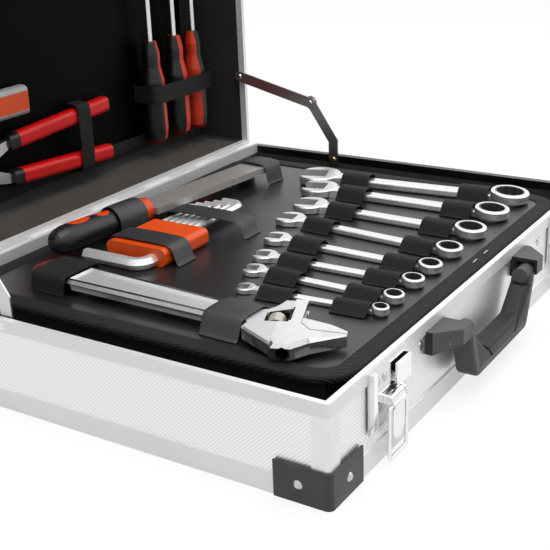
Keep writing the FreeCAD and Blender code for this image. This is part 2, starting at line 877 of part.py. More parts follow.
def handle_bracket():
    face = -half_depth
    seat = face + skin
    top = base_height - bracket_top_drop
    low = top - bracket_height
    plan = [(bracket_inner, face), (bracket_outer, face), (bracket_outer, face - bracket_end_out),
            (bracket_tip, face - bracket_out), (bracket_inner, face - bracket_out)]
    body = prism([FreeCAD.Vector(x, y, low) for x, y in plan], Z_AXIS * bracket_height)
    rise = bracket_height - bracket_tip_height
    under = [(face - bracket_end_out, low - overrun), (face - bracket_end_out, low),
             (face - bracket_out, low + rise), (face - bracket_out - overrun, low + rise),
             (face - bracket_out - overrun, low - overrun)]
    length = bracket_outer - bracket_inner + overrun + overrun
    under = prism([FreeCAD.Vector(bracket_inner - overrun, y, z) for y, z in under], X_AXIS * length)
    pad = block(bracket_inner, bracket_outer, face, seat, low,
                base_height - base_rim_height - free_clearance)
    pocket_end = bracket_inner + pocket_length
    pocket = block(bracket_inner - overrun, pocket_end, face - bracket_out + pocket_margin,
                   face - pocket_margin,
                   low - overrun, top - bracket_roof)
    return body.cut(under).fuse(pad).cut([pocket,
                                          handle_pin(seat_clearance, handle_pin_length)]).removeSplitter()


# Handle: a hard shell outside and below, a soft grip inside
def shell_inner(drop):
    slope = (arm_top_outer - arm_bottom_outer) / (handle_bottom_drop - handle_pin_drop)
    return arm_top_outer - shell_thickness - slope * (drop - handle_pin_drop)


def rim_edges(shape, half_deep, inside):
    found = []
    middle = -half_depth - handle_pin_out
    for edge in shape.Edges:
        box = edge.BoundBox
        flat = box.YLength < seat_clearance and abs(abs(box.YMin - middle) - half_deep) < seat_clearance
        if flat and inside(edge.CenterOfMass):
            found.append(edge)
    return found


def handle_core():
    shell_bottom = handle_bottom_drop - shell_thickness
    half = [(shell_inner(handle_pin_drop), handle_pin_drop), (arm_top_outer, handle_pin_drop),
            (arm_bottom_outer, handle_bottom_drop)]
    inner = [(shell_inner(shell_bottom), shell_bottom), (shell_inner(handle_pin_drop), handle_pin_drop)]
    outline = half + [(-x, drop) for x, drop in reversed(half)]
    outline = outline + [(-x, drop) for x, drop in reversed(inner[:1])] + inner[:1]
    half_deep = handle_depth / 2
    start_y = -half_depth - handle_pin_out - half_deep
    corners = [FreeCAD.Vector(x, start_y, base_height - drop) for x, drop in outline]
    body = prism(corners, Y_AXIS * handle_depth)
    low_z = base_height - handle_bottom_drop
    bottom = [edge for edge in edges_along(body,
                                           Y_AXIS) if abs(edge.CenterOfMass.z - low_z) < seat_clearance]
    body = round_edges(body, bottom, corner_round)
    top_z = base_height - handle_pin_drop
    outer = rim_edges(body, half_deep,
                      lambda point: outside_shell(point) and point.z < top_z - seat_clearance)
    body = round_edges(body, outer, shell_edge_round)
    eye_end = bracket_inner + pocket_length - free_clearance
    eye_y = -half_depth - handle_pin_out
    eye = rod(FreeCAD.Vector(eye_end - eye_length, eye_y, top_z), X_AXIS, eye_radius, eye_length)
    bore = handle_pin(running_clearance, handle_pin_length)
    return body.fuse(both_sides(eye)).cut(both_sides(bore)).removeSplitter()


def outside_shell(point):
    drop = base_height - point.z
    beside = abs(point.x) > shell_inner(drop) + shell_thickness / 2
    return beside or drop > handle_bottom_drop - shell_thickness / 2


def grip_solid(inset):
    shell_bottom = handle_bottom_drop - shell_thickness
    half_deep = handle_depth / 2 - inset
    half = [(grip_inner_half + inset, grip_top_drop + inset), (grip_start_half + inset, grip_start_drop),
            (shell_inner(grip_start_drop), grip_start_drop), (shell_inner(shell_bottom), shell_bottom)]
    points = half + [(-x, drop) for x, drop in reversed(half)]
    start_y = -half_depth - handle_pin_out - half_deep
    corners = [FreeCAD.Vector(x, start_y, base_height - drop) for x, drop in points]
    body = prism(corners, Y_AXIS * (half_deep + half_deep))
    top_z = base_height - grip_top_drop - inset
    inner = [edge for edge in edges_along(body,
                                          Y_AXIS) if abs(edge.CenterOfMass.z - top_z) < seat_clearance]
    body = round_edges(body, inner, corner_round)
    start_z = base_height - grip_start_drop
    edges = rim_edges(body, half_deep,
                      lambda point: inside_grip(point) and point.z < start_z - seat_clearance)
    return round_edges(body, edges, grip_edge_round - inset)


def inside_grip(point):
    drop = base_height - point.z
    share = (drop - grip_start_drop) / (grip_top_drop - grip_start_drop)
    limit = grip_start_half + (grip_inner_half - grip_start_half) * share
    within = abs(point.x) < limit + (shell_inner(drop) - limit) / 2
    return within and drop < grip_top_drop + shell_thickness / 2


def handle_grip():
    body = grip_solid(0)
    core = grip_solid(groove_depth)
    run_x = grip_inner_half - grip_start_half
    run_drop = grip_top_drop - grip_start_drop
    lean = math.degrees(math.atan2(run_x, run_drop))
    tools = []
    for share in groove_shares:
        cutter = block(-handle_bottom_drop, handle_bottom_drop, -half_depth - bracket_out - handle_depth,
                       -half_depth,
                       -groove_width / 2, groove_width / 2)
        cutter = turned(cutter, Y_AXIS, lean)
        x = grip_start_half + run_x * share
        z = base_height - grip_start_drop - run_drop * share
        side = block(0, handle_bottom_drop, -half_depth - bracket_out - handle_depth, 0, 0, base_height)
        tools.append(moved(cutter, x, 0, z).common(side).cut(core))
    return body.cut([tool for cutter in tools for tool in both_sides(cutter)])


# Pallet board with tape bound round its edge
def bound_edge(half_x, half_y, radius, z_low, z_high, reach):
    tape = slab(half_x + binding_edge, half_y + binding_edge, radius + binding_edge,
                z_low - binding_thickness, z_high + binding_thickness)
    board = slab(half_x, half_y, radius, z_low, z_high)
    hole = slab(half_x - reach, half_y - reach, radius - reach,
                z_low - binding_thickness - overrun, z_high + binding_thickness + overrun)
    return tape.cut([board, hole])


def pallet_supports():
    far = pallet_half_x - binding_width - support_inset
    half = pallet_half_y - support_end_inset
    return both_sides(block(far - support_width, far, -half, half, floor_top, pallet_low))


def pallet_staples():
    low = pallet_top + binding_thickness
    back = binding_width / 2 - pallet_half_y
    middle = staple_offset
    staples = []
    for x in (middle - staple_spacing / 2, middle + staple_spacing / 2):
        staples.append(block(x - staple_length / 2, x + staple_length / 2, back - staple_wire, back, low,
                             low + staple_wire))
    return staples


# Combination wrench: ring at the origin, shank and open end along +Y
def hex_bar(flats, length):
    points = [FreeCAD.Vector(x, y, -length / 2) for x, y in hex_points(flats)]
    return prism(points, Z_AXIS * length)


def outer_rims(body, radius):
    return [edge for edge in body.Edges
            if edge.Curve.TypeId == "Part::GeomCircle" and abs(edge.Curve.Radius - radius) < seat_clearance]


def wrench_sections(size):
    ring_radius = size * ring_outer_share
    jaw_radius = size * jaw_outer_share
    jaw_high = size * jaw_height_share + wrench_web_height
    shank_wide = size * shank_width_share + wrench_web_width
    shank_high = size * shank_height_share + wrench_web_height
    return ring_radius, jaw_radius, jaw_high, shank_wide, shank_high


def combination_wrench(size, length):
    ring_radius, jaw_radius, jaw_high, shank_wide, shank_high = wrench_sections(size)
    run = length - ring_radius - jaw_radius
    ring_high = size * ring_height_share + ring_web_height
    eye = rod(Z_AXIS * (-ring_high / 2), Z_AXIS, ring_radius, ring_high)
    foot = [edge for edge in outer_rims(eye, ring_radius) if edge.CenterOfMass.z < 0]
    eye = round_edges(eye, foot, ring_high * ring_foot_share)
    crest = [edge for edge in outer_rims(eye, ring_radius) if edge.CenterOfMass.z > ring_high / 4]
    eye = round_edges(eye, crest, ring_high * ring_crest_share)
    bores = [hex_bar(size, ring_high * 3), turned(hex_bar(size, ring_high * 3), Z_AXIS, 30)]
    tilted = [turned(shape, X_AXIS, ring_tilt) for shape in [eye] + bores]
    lift = -tilted[0].BoundBox.ZMin
    tilted = [moved(shape, 0, 0, lift) for shape in tilted]
    bore_radius = size / math.sqrt(3)
    shank = block(-shank_wide / 2, shank_wide / 2, bore_radius, run, 0, shank_high)
    shank = round_edges(shank, edges_along(shank, Y_AXIS), shank_high * shank_round_share)
    neck_start = run - jaw_radius - loop_jaw_gap + free_clearance
    neck_end = run - jaw_radius * neck_reach_share
    neck_half = jaw_radius * neck_width_share / 2
    neck = [(-shank_wide / 2, neck_start), (shank_wide / 2, neck_start), (neck_half, neck_end),
            (-neck_half, neck_end)]
    neck = prism([FreeCAD.Vector(x, y, 0) for x, y in neck], Z_AXIS * shank_high)
    jaw = rod(Y_AXIS * run, Z_AXIS, jaw_radius, jaw_high)
    jaw = round_edges(jaw, outer_rims(jaw, jaw_radius), jaw_high * jaw_round_share)
    root = size * jaw_root_share
    slot = block(-size / 2, size / 2, -root, jaw_radius + overrun, -overrun, jaw_high + overrun)
    slot = moved(turned(slot, Z_AXIS, jaw_turn), 0, run, 0)
    return tilted[0].fuse([shank, neck, jaw]).cut(tilted[1:] + [slot]).removeSplitter()


def wrench_loops(size, length):
    ring_radius, jaw_radius, jaw_high, shank_wide, shank_high = wrench_sections(size)
    run = length - ring_radius - jaw_radius
    span = shank_wide / 2 + free_clearance
    rise = wrench_lift + shank_high + free_clearance
    loop = arch(span, rise, loop_thickness, loop_flange, loop_width)
    near = ring_radius + loop_ring_gap + loop_width / 2
    far = run - jaw_radius - loop_jaw_gap - loop_width / 2
    return [moved(loop, 0, near, 0), moved(loop, 0, far, 0)]


def wrench_row():
    wrenches = []
    loops = []
    table = zip(wrench_sizes, wrench_lengths, wrench_ring_shares, wrench_open_shares)
    for size, length, ring_share, open_share in table:
        ring_radius, jaw_radius, jaw_high, shank_wide, shank_high = wrench_sections(size)
        run = length - ring_radius - jaw_radius
        sideways = (open_share - ring_share) * pallet_half_x
        swing = -math.degrees(math.asin(sideways / run))
        x = ring_share * pallet_half_x
        y = wrench_front_inset + ring_radius - pallet_half_y
        wrench = turned(combination_wrench(size, length), Z_AXIS, swing)
        wrenches.append(moved(wrench, x, y, pallet_top + wrench_lift))
        for loop in wrench_loops(size, length):
            loops.append(moved(turned(loop, Z_AXIS, swing), x, y, pallet_top))
    return wrenches, loops


# Adjustable wrench: the head is drawn along its jaw slide, the arm along +Y, then both are turned
root_x = adjustable_across_share * pallet_half_x
root_y = adjustable_root_inset - pallet_half_y
adjustable_lift = binding_thickness + free_clearance
adjustable_low = pallet_top + adjustable_lift
arm_lift = (adjustable_head_height - adjustable_handle_height) / 2
arm_end = adjustable_tail_reach - adjustable_tail_width / 2
mouth_x = -mouth_shift
movable_x = mouth_x + jaw_opening
head_middle = adjustable_head_height / 2
head_back = [(head_half * x, head_half * y) for x, y in head_back_shares]
head_end = head_back[0][0]
worm_x = worm_along_share * head_half
worm_y = channel_depth + channel_radius + worm_radius + free_clearance
worm_reach = worm_length / 2 + worm_window_gap


def head_place(shape):
    return moved(turned(shape, Z_AXIS, head_turn), root_x, root_y, adjustable_low)


def arm_place(shape, low):
    return moved(turned(shape, Z_AXIS, -adjustable_lean), root_x + adjustable_axis_shift, root_y, low)


def head_prism(points):
    return prism([FreeCAD.Vector(x, y, 0) for x, y in points], Z_AXIS * adjustable_head_height)


def bevelled(shape, corners, size, high):
    tools = []
    reach = size + overrun
    for start, end in zip(corners, corners[1:]):
        first = FreeCAD.Vector(start[0], start[1], 0)
        run = FreeCAD.Vector(end[0], end[1], 0) - first
        outward = run.cross(Z_AXIS).normalize()
        for level, up in ((high, Z_AXIS), (0, Z_AXIS * -1)):
            crest = first + Z_AXIS * level + up * overrun
            side = first + Z_AXIS * level + outward * overrun
            wedge = [crest - outward * reach, crest + outward * overrun, side - up * reach]
            tools.append(prism(wedge, run))
    return shape.cut(tools)


# The jaws get thinner towards their tips, above and below
def jaw_taper():
    far = head_half + head_half
    end = -jaw_length - overrun
    top = adjustable_head_height
    upper = [(-mouth_bevel_depth, top), (end, top - jaw_tip_drop), (end, top + overrun),
             (-mouth_bevel_depth, top + overrun)]
    lower = [(y, top - z) for y, z in upper]
    return [prism([FreeCAD.Vector(-far, y, z) for y, z in points], X_AXIS * (far + far))
            for points in (upper, lower)]


# The neck round the worm lies a step below the jaw pad, above and below
def neck_steps():
    far = head_half + head_half
    pad_x = pad_along_share * head_half
    steps = []
    for low, high in ((adjustable_head_height - neck_step, adjustable_head_height + overrun),
                      (-overrun, neck_step)):
        steps.append(block(-far, pad_x, pad_back_share * head_half, far, low, high))
        steps.append(block(pad_x, far, pad_side_share * head_half, far, low, high))
    return steps


def worm_pin(clearance):
    start_x = worm_x - worm_reach - worm_pin_seat
    length = worm_reach + worm_reach + window_flare + worm_pin_seat + worm_pin_seat
    return rod(FreeCAD.Vector(start_x, worm_y, head_middle), X_AXIS, worm_pin_radius + clearance, length)


def worm_window():
    low_x = worm_x - worm_reach
    high_x = worm_x + worm_reach
    far_y = worm_y + worm_radius + worm_window_gap
    plan = [(low_x, channel_depth), (high_x + window_flare, channel_depth), (high_x, far_y), (low_x, far_y)]
    height = adjustable_head_height + overrun + overrun
    return prism([FreeCAD.Vector(x, y, -overrun) for x, y in plan], Z_AXIS * height)


def adjustable_head():
    side = [(head_half * x, head_half * y) for x, y in fixed_jaw_side_shares]
    tip = [(mouth_x - jaw_tip_width, -jaw_length), (mouth_x, -jaw_length)]
    mouth = [(mouth_x, -mouth_bevel_depth), (mouth_x + mouth_bevel_run, 0), (head_end, 0)]
    head = head_prism(head_back + side + tip + mouth)
    head = bevelled(head, head_back[:3], head_bevel, adjustable_head_height)
    head = bevelled(head, head_back[-2:] + side + tip[:1], head_bevel, adjustable_head_height)
    far = head_half + overrun
    bore = rod(FreeCAD.Vector(-far, channel_depth, head_middle), X_AXIS, channel_radius, far + far)
    half_slot = slot_width / 2
    slot_x = movable_x + mouth_bevel_run - free_clearance
    slot = block(slot_x, far, -overrun, channel_depth, head_middle - half_slot, head_middle + half_slot)
    tools = [bore, slot, worm_window(), worm_pin(seat_clearance)]
    return head_place(head.cut(tools + jaw_taper() + neck_steps()))


def arm_half(along, margin):
    share = (along - adjustable_neck_reach) / (arm_end - adjustable_neck_reach)
    return (adjustable_neck_width + (adjustable_tail_width - adjustable_neck_width) * share) / 2 - margin


def arm_plan(first, last, margin):
    near = arm_half(first, margin)
    far = arm_half(last, margin)
    return [(-near, first), (near, first), (far, last), (-far, last)]


def adjustable_body():
    high = adjustable_handle_height
    plan = arm_plan(adjustable_neck_reach, arm_end, 0)
    arm = prism([FreeCAD.Vector(x, y, 0) for x, y in plan], Z_AXIS * high)
    arm = bevelled(arm, plan[1:3], adjustable_bevel, high)
    arm = bevelled(arm, [plan[3], plan[0]], adjustable_bevel, high)
    end = rod(Y_AXIS * arm_end, Z_AXIS, adjustable_tail_width / 2, high)
    hole_start = FreeCAD.Vector(0, adjustable_tail_reach - adjustable_hang_inset, -overrun)
    hole = rod(hole_start, Z_AXIS, adjustable_hang_radius, high + overrun + overrun)
    front = adjustable_recess_front_share * adjustable_tail_reach
    rear = adjustable_recess_back_share * adjustable_tail_reach
    recess = arm_plan(front, rear, adjustable_recess_margin)
    deep = adjustable_recess + overrun
    upper = prism([FreeCAD.Vector(x, y, high - adjustable_recess) for x, y in recess], Z_AXIS * deep)
    lower = prism([FreeCAD.Vector(x, y, -overrun) for x, y in recess], Z_AXIS * deep)
    arm = arm.fuse(end).cut([hole, upper, lower])
    room = head_place(worm_window())
    return adjustable_head().fuse(arm_place(arm, adjustable_low + arm_lift).cut(room))


def adjustable_jaw():
    waist = movable_x + movable_jaw_width * jaw_waist_share
    far = movable_x + movable_jaw_width
    shoulder = -jaw_length * movable_jaw_shoulder_share
    root = movable_x + mouth_bevel_run
    outer = [(movable_x + jaw_tip_width, -jaw_length), (waist, shoulder), (far, -free_clearance)]
    inner = [(root, -free_clearance), (movable_x, -mouth_bevel_depth), (movable_x, -jaw_length)]
    jaw = bevelled(head_prism(outer + inner), outer, jaw_bevel, adjustable_head_height).cut(jaw_taper())
    half_neck = slot_width / 2 - free_clearance
    rail_end = movable_x + rail_length
    neck = block(root, rail_end, -free_clearance, channel_depth, head_middle - half_neck,
                 head_middle + half_neck)
    rail_radius = channel_radius - free_clearance
    rail = rod(FreeCAD.Vector(movable_x, channel_depth, head_middle), X_AXIS, rail_radius, rail_length)
    return head_place(jaw.fuse([neck, rail]).removeSplitter())


def adjustable_worm():
    turns = int(worm_length / worm_pitch)
    start = worm_x - worm_length / 2
    step = worm_length / turns
    line = [FreeCAD.Vector(start, worm_y + worm_core_radius, head_middle)]
    for count in range(turns):
        crest = start + step * (count + 1 / 2)
        line.append(FreeCAD.Vector(crest - step / 4, worm_y + worm_radius, head_middle))
        line.append(FreeCAD.Vector(crest + step / 4, worm_y + worm_radius, head_middle))
        line.append(FreeCAD.Vector(start + step * (count + 1), worm_y + worm_core_radius, head_middle))
    first = FreeCAD.Vector(start, worm_y, head_middle)
    last = FreeCAD.Vector(start + worm_length, worm_y, head_middle)
    outline = Part.makePolygon([first] + line + [last, first])
    body = Part.Face(outline).revolve(first, X_AXIS, 360)
    return head_place(body.cut(worm_pin(running_clearance)))


# Hex keys: the small ones run right, the large one left and back
holder_x = holder_across_share * pallet_half_x
holder_y = holder_along_share * pallet_half_y


def bent_key(points, flats):
    corners = [points[0] + FreeCAD.Vector(0, y, z) for y, z in hex_points(flats)]
    return bent_bar(points, flats * key_bend_share, Part.makePolygon(corners + corners[:1]))


def small_keys(flats_extra):
    right = holder_x + holder_width / 2
    front = holder_y - holder_depth / 2 + key_front_inset + large_key_inset
    keys = []
    for count, (flats, reach, arm) in enumerate(zip(key_flats, key_reaches, key_arms)):
        y = front + key_pitch * count
        z = pallet_top + key_lift
        start = FreeCAD.Vector(right - key_seat, y, z)
        corner = FreeCAD.Vector(right + reach, y, z)
        keys.append(bent_key([start, corner, corner + Y_AXIS * arm], flats + flats_extra))
    return keys


def large_key(flats_extra):
    left = holder_x - holder_width / 2
    y = holder_y - holder_depth / 2 + large_key_inset
    z = pallet_top + large_key_flats / math.sqrt(3) + wrench_lift
    start = FreeCAD.Vector(left + key_seat, y, z)
    corner = FreeCAD.Vector(left - large_key_reach, y, z)
    return bent_key([start, corner, corner + Y_AXIS * large_key_arm], large_key_flats + flats_extra)


def key_holder():
    half_x = holder_width / 2
    half_y = holder_depth / 2
    body = moved(block(-half_x, half_x, -half_y, half_y, 0, holder_height), holder_x, holder_y, pallet_top)
    body = round_edges(body, edges_along(body, X_AXIS), holder_round)
    fit = seat_clearance + seat_clearance
    return body.cut(small_keys(fit) + [large_key(fit)])


# Flat file lying across the back, drawn along +X from the end of its collar
file_low = binding_thickness + free_clearance


def file_place(shape):
    x = file_across_share * pallet_half_x
    y = file_along_share * pallet_half_y
    return moved(turned(shape, Z_AXIS, file_turn), x, y, pallet_top + file_low)


def file_tang(clearance):
    half = file_tang_width / 2 + clearance
    half_high = file_blade_height / 2 + clearance
    middle = file_handle_radius
    return block(-file_tang_length - clearance, overrun, -half, half, middle - half_high,
                 middle + half_high)


def file_blade():
    half = file_blade_width / 2
    half_high = file_blade_height / 2
    middle = file_handle_radius
    bar = block(0, file_blade_length, -half, half, middle - half_high, middle + half_high)
    return file_place(bar.fuse(file_tang(0)).removeSplitter())


def file_handle():
    grip = turned(spun(file_handle_shares, file_handle_length, file_handle_radius), Z_AXIS, -90)
    collar_length = file_handle_length * (1 - file_collar_share)
    collar = Part.makeCone(file_collar_radius, file_collar_end_radius, collar_length,
                           X_AXIS * -collar_length, X_AXIS)
    body = moved(grip, -file_handle_length, 0, 0).fuse(collar)
    return file_place(moved(body, 0, 0, file_handle_radius).cut(file_tang(seat_clearance)).removeSplitter())


# Rubber straps over the pallet tools, and the wide ones on the adjustable wrench
def cross_strap(x, y, half_span, rise, foot, low, width=strap_width):
    strap = turned(arch(half_span, rise, strap_thickness, foot, width), Z_AXIS, 90)
    return moved(strap, x, y, low)


def rubber_straps():
    half_y = holder_depth / 2 + free_clearance
    over_holder = cross_strap(holder_x - strap_width / 2, holder_y, half_y, holder_height + free_clearance,
                              strap_foot, pallet_top)
    keys_x = holder_x + holder_width / 2 + keys_strap_offset
    keys_y = holder_y - keys_strap_front - free_clearance
    keys_rise = key_lift + key_flats[0] / math.sqrt(3) + strap_thickness
    over_keys = cross_strap(keys_x, keys_y, keys_strap_span / 2, keys_rise, strap_foot, pallet_top)
    grip_x = strap_file_share * file_handle_length
    grip_rise = file_handle_radius + file_handle_radius + free_clearance + free_clearance
    over_grip = cross_strap(grip_x, 0, file_handle_radius + free_clearance, grip_rise, strap_thickness,
                            -free_clearance, grip_strap_width)
    tip_x = tip_strap_share * file_blade_length
    tip_rise = file_low + file_handle_radius + file_blade_height / 2 + free_clearance
    over_tip = cross_strap(tip_x, 0, file_blade_width / 2 + free_clearance, tip_rise, tip_strap_foot,
                           -file_low)
    rise = adjustable_lift + adjustable_head_height - neck_step + free_clearance
    turn = math.radians(head_turn)
    corners = [x * math.sin(turn) + y * math.cos(turn) for x, y in (head_back[2], head_back[-2])]
    front_y = max(corners) + adjustable_strap_gap + adjustable_strap_width / 2
    rear_y = adjustable_tail_reach * adjustable_tail_strap_share
    over_arm = []
    for y in (front_y, rear_y):
        half_span = arm_half(min(y + adjustable_strap_width / 2, arm_end), 0) + free_clearance
        strap = arch(half_span, rise, strap_thickness, strap_foot, adjustable_strap_width)
        over_arm.append(arm_place(moved(strap, 0, y, 0), pallet_top))
    return [over_holder, over_keys, file_place(over_grip), file_place(over_tip)] + over_arm


# Tools on the lid board, drawn on the lid tray with the board face up
board_half_x = room_x - board_side_inset
board_half_y = room_y - board_end_inset
board_top = floor_top + binding_thickness + board_thickness
tool_low = board_top + binding_thickness


def pliers_place(shape):
    x = pliers_pivot_across_share * board_half_x
    y = pliers_pivot_along_share * board_half_y
    return moved(shape, x, y, tool_low + pliers_lift)


def pliers_half(side):
    tang = pliers_tang_width / 2
    half_head = pliers_head_width / 2
    nose = pliers_nose_width / 2
    grip_x = pliers_neck_length
    end_x = pliers_handle_length
    outline = [(0, side * half_head), (-pliers_head_length / 2, side * half_head),
               (-pliers_head_length, side * nose),
               (-pliers_head_length, side * free_clearance), (0, side * free_clearance),
               (grip_x, side * (pliers_neck_spread - tang)), (end_x, side * (pliers_handle_spread - tang)),
               (end_x, side * (pliers_handle_spread + tang)), (grip_x, side * (pliers_neck_spread + tang))]
    points = [FreeCAD.Vector(x, y, pliers_grip_height / 2 - pliers_tang_height / 2) for x, y in outline]
    return prism(points, Z_AXIS * pliers_tang_height)


def pliers_rivet(clearance):
    low = pliers_grip_height / 2 - pliers_tang_height / 2 - pliers_rivet_head
    high = pliers_tang_height + pliers_rivet_head + pliers_rivet_head
    start = FreeCAD.Vector(-pliers_rivet_radius, 0, low)
    return rod(start, Z_AXIS, pliers_rivet_radius + clearance, high)


def pliers_steel():
    hole = pliers_rivet(seat_clearance)
    halves = [pliers_half(side).cut(hole) for side in (1, -1)]
    return [pliers_place(piece) for piece in halves + [pliers_rivet(0)]]


def pliers_grips():
    grips = []
    run_x = pliers_handle_length - pliers_neck_length
    lean = math.degrees(math.atan2(pliers_handle_spread - pliers_neck_spread, run_x))
    half = pliers_grip_width / 2
    for side in (1, -1):
        length = run_x + half
        grip = block(0, length, -half, half, 0, pliers_grip_height)
        grip = round_edges(grip, edges_along(grip, X_AXIS), pliers_grip_round)
        grip = moved(turned(grip, Z_AXIS, side * lean), pliers_neck_length, side * pliers_neck_spread, 0)
        grips.append(pliers_place(grip.cut(pliers_half(side))))
    return grips


def knife():
    half_x = knife_length / 2
    half_y = knife_width / 2
    body = block(-half_x, half_x, -half_y, half_y, 0, knife_height)
    body = round_edges(body, edges_along(body, X_AXIS), knife_round)
    return moved(body, knife_across_share * board_half_x, knife_along_share * board_half_y,
                 board_top + free_clearance)


def driver_shaft(length, clearance):
    start = Y_AXIS * (driver_handle_length - driver_shaft_seat)
    return rod(start, Y_AXIS, driver_shaft_radius + clearance, length + driver_shaft_seat)


def screwdrivers():
    handles = []
    shafts = []
    low_y = driver_bottom_inset - board_half_y
    low_z = tool_low + driver_lift + driver_handle_radius
    for share, length in zip(driver_across_shares, driver_shaft_lengths):
        x = share * board_half_x
        handle = spun(driver_handle_shares, driver_handle_length, driver_handle_radius)
        handle = handle.cut(driver_shaft(length, seat_clearance))
        handles.append(moved(handle, x, low_y, low_z))
        shafts.append(moved(driver_shaft(length, 0), x, low_y, low_z))
    return handles, shafts


def lid_straps():
    reach = pliers_handle_spread + pliers_grip_width / 2 + free_clearance
    rise = pliers_lift + pliers_grip_height + free_clearance
    pliers_y = pliers_pivot_along_share * board_half_y
    over_pliers = arch(reach, rise, lid_strap_thickness, strap_thickness, lid_strap_width)
    over_pliers = moved(turned(over_pliers, Z_AXIS, 90), lid_pliers_strap_share * board_half_x, pliers_y,
                        tool_low)
    knife_rise = free_clearance + knife_height + free_clearance
    over_knife = arch(knife_width / 2 + free_clearance, knife_rise, lid_strap_thickness, strap_thickness,
                      lid_strap_width)
    knife_x = lid_knife_strap_share * board_half_x
    over_knife = moved(turned(over_knife, Z_AXIS, 90), knife_x, knife_along_share * board_half_y, board_top)
    first = driver_across_shares[0] * board_half_x
    last = driver_across_shares[-1] * board_half_x
    span = (last - first) / 2 + driver_handle_radius + free_clearance
    driver_rise = driver_lift + driver_handle_radius + driver_handle_radius + free_clearance
    over_drivers = arch(span, driver_rise, lid_strap_thickness, strap_thickness, lid_strap_width)
    over_drivers = moved(over_drivers, (first + last) / 2, lid_driver_strap_share * board_half_y, tool_low)
    return [over_pliers, over_knife, over_drivers]


def ring_rivets(make):
    seat = FreeCAD.Vector(handle_rivet_offset, -inner_y, base_height - handle_rivet_drop)
    return both_sides(make(seat, Y_AXIS * -1, panel))


def ring_rivet(seat, outward, grip):
    return rivet(seat, outward, grip, handle_ring_radius)


def two_latches(pieces):
    return pieces + [mirror_x(piece) for piece in pieces]


def at_handle(pieces):
    return [moved(piece, handle_shift, 0, 0) for piece in pieces]


os.makedirs("parts", exist_ok=True)
stay_base, stay_elbow, stay_lid = stay_points()
stay_bore = stay_rivet_radius + seat_clearance

# Base body
base_leaf_z = hinge_z - leaf_rivet_drop
base_holes = cap_rivets(rivet_hole) + two_latches(latch_rivets(rivet_hole))
base_holes += leaf_rivets(rivet_hole, base_leaf_z) + ring_rivets(rivet_hole)
base_holes += both_sides(stay_hole(stay_base, stay_bore))
save("base_wall_panels", drilled(tray_walls(base_height), base_holes))
save("base_floor_panel", tray_floor())
save("base_rim", drilled(tray_rim(base_height, base_rim_height), base_holes))
save("base_bottom_profiles", drilled(tray_band(), base_holes))
save("base_corner_posts", tray_posts(base_height, base_rim_height))
save("base_corner_caps", drilled(tray_caps(), base_holes))
save("base_lining", tray_lining(base_height, base_rim_height))
base_rivets = cap_rivets(rivet) + two_latches(latch_rivets(rivet))
save("base_rivets", base_rivets + leaf_rivets(rivet, base_leaf_z) + ring_rivets(ring_rivet))
save("pallet_supports", pallet_supports())
save("hinge_base_leaf", drilled([base_leaf()], base_holes))
save("hinge_pin", [rod(FreeCAD.Vector(-hinge_length / 2, hinge_y, hinge_z), X_AXIS, hinge_pin_radius,
                       hinge_length)])
save("stay_base_pivots", both_sides(stay_pivot(stay_base, stay_low_out, stay_low_in)))
save("latch_plates", two_latches([latch_plate()]))
save("latch_pivot_pins", two_latches([latch_pin(0)]))
save("handle_brackets", at_handle(both_sides(handle_bracket())))
save("handle_pivot_pins", at_handle(both_sides(handle_pin(0, handle_pin_length))))

# Lid body
lid_leaf_z = lid_low + leaf_rivet_rise
closed_holes = leaf_rivets(rivet_hole, lid_leaf_z) + two_latches(catch_rivets(rivet_hole))
stay_lid_closed = FreeCAD.Vector(0, half_depth - stay_lid_reach, lid_low + stay_lid_rise)
closed_holes += both_sides(stay_hole(stay_lid_closed, stay_bore))
lid_holes = cap_rivets(rivet_hole) + [to_closed(hole) for hole in closed_holes]
save("lid_wall_panels", lid_place(drilled(tray_walls(lid_height), lid_holes)))
save("lid_top_panel", lid_place(tray_floor()))
save("lid_rim", lid_place(drilled(tray_rim(lid_height, lid_rim_height), lid_holes)))
save("lid_top_profiles", lid_place(drilled(tray_band(), lid_holes)))
save("lid_corner_posts", lid_place(tray_posts(lid_height, lid_rim_height)))
save("lid_corner_caps", lid_place(drilled(tray_caps(), lid_holes)))
save("lid_lining", lid_place(tray_lining(lid_height, lid_rim_height)))
closed_rivets = leaf_rivets(rivet, lid_leaf_z) + two_latches(catch_rivets(rivet))
save("lid_rivets", lid_place(cap_rivets(rivet)) + [to_open(piece) for piece in closed_rivets])
save("hinge_lid_leaf", [to_open(piece) for piece in drilled([lid_leaf()], closed_holes)])
save("stay_lid_pivots", both_sides(stay_pivot(stay_lid, stay_up_out, stay_up_in)))
save("lid_catches", [to_open(piece) for piece in two_latches([lid_catch()])])
board_low = floor_top + binding_thickness
save("lid_board", lid_place([slab(board_half_x, board_half_y, board_radius, board_low, board_top)]))
board_tape = bound_edge(board_half_x, board_half_y, board_radius, board_low, board_top, board_binding_width)
save("lid_board_binding", lid_place([board_tape]))
save("lid_straps", lid_place(lid_straps()))
save("pliers_steel", lid_place(pliers_steel()))
save("pliers_grips", lid_place(pliers_grips()))
save("knife_body", lid_place([knife()]))
driver_handles, driver_shafts = screwdrivers()
save("screwdriver_handles", lid_place(driver_handles))
save("screwdriver_shafts", lid_place(driver_shafts))

# Stays, latches and handle
save("stay_lower_right", [stay_lower()])
save("stay_lower_left", [mirror_x(stay_lower())])
save("stay_upper_right", stay_upper())
save("stay_upper_left", [mirror_x(piece) for piece in stay_upper()])
save("latch_lever_left", [latch_lever()])
save("latch_lever_right", [mirror_x(latch_lever())])
save("latch_bail_left", [latch_bail()])
save("latch_bail_right", [mirror_x(latch_bail())])
save("handle_core", at_handle([handle_core()]))
save("handle_grip", at_handle([handle_grip()]))

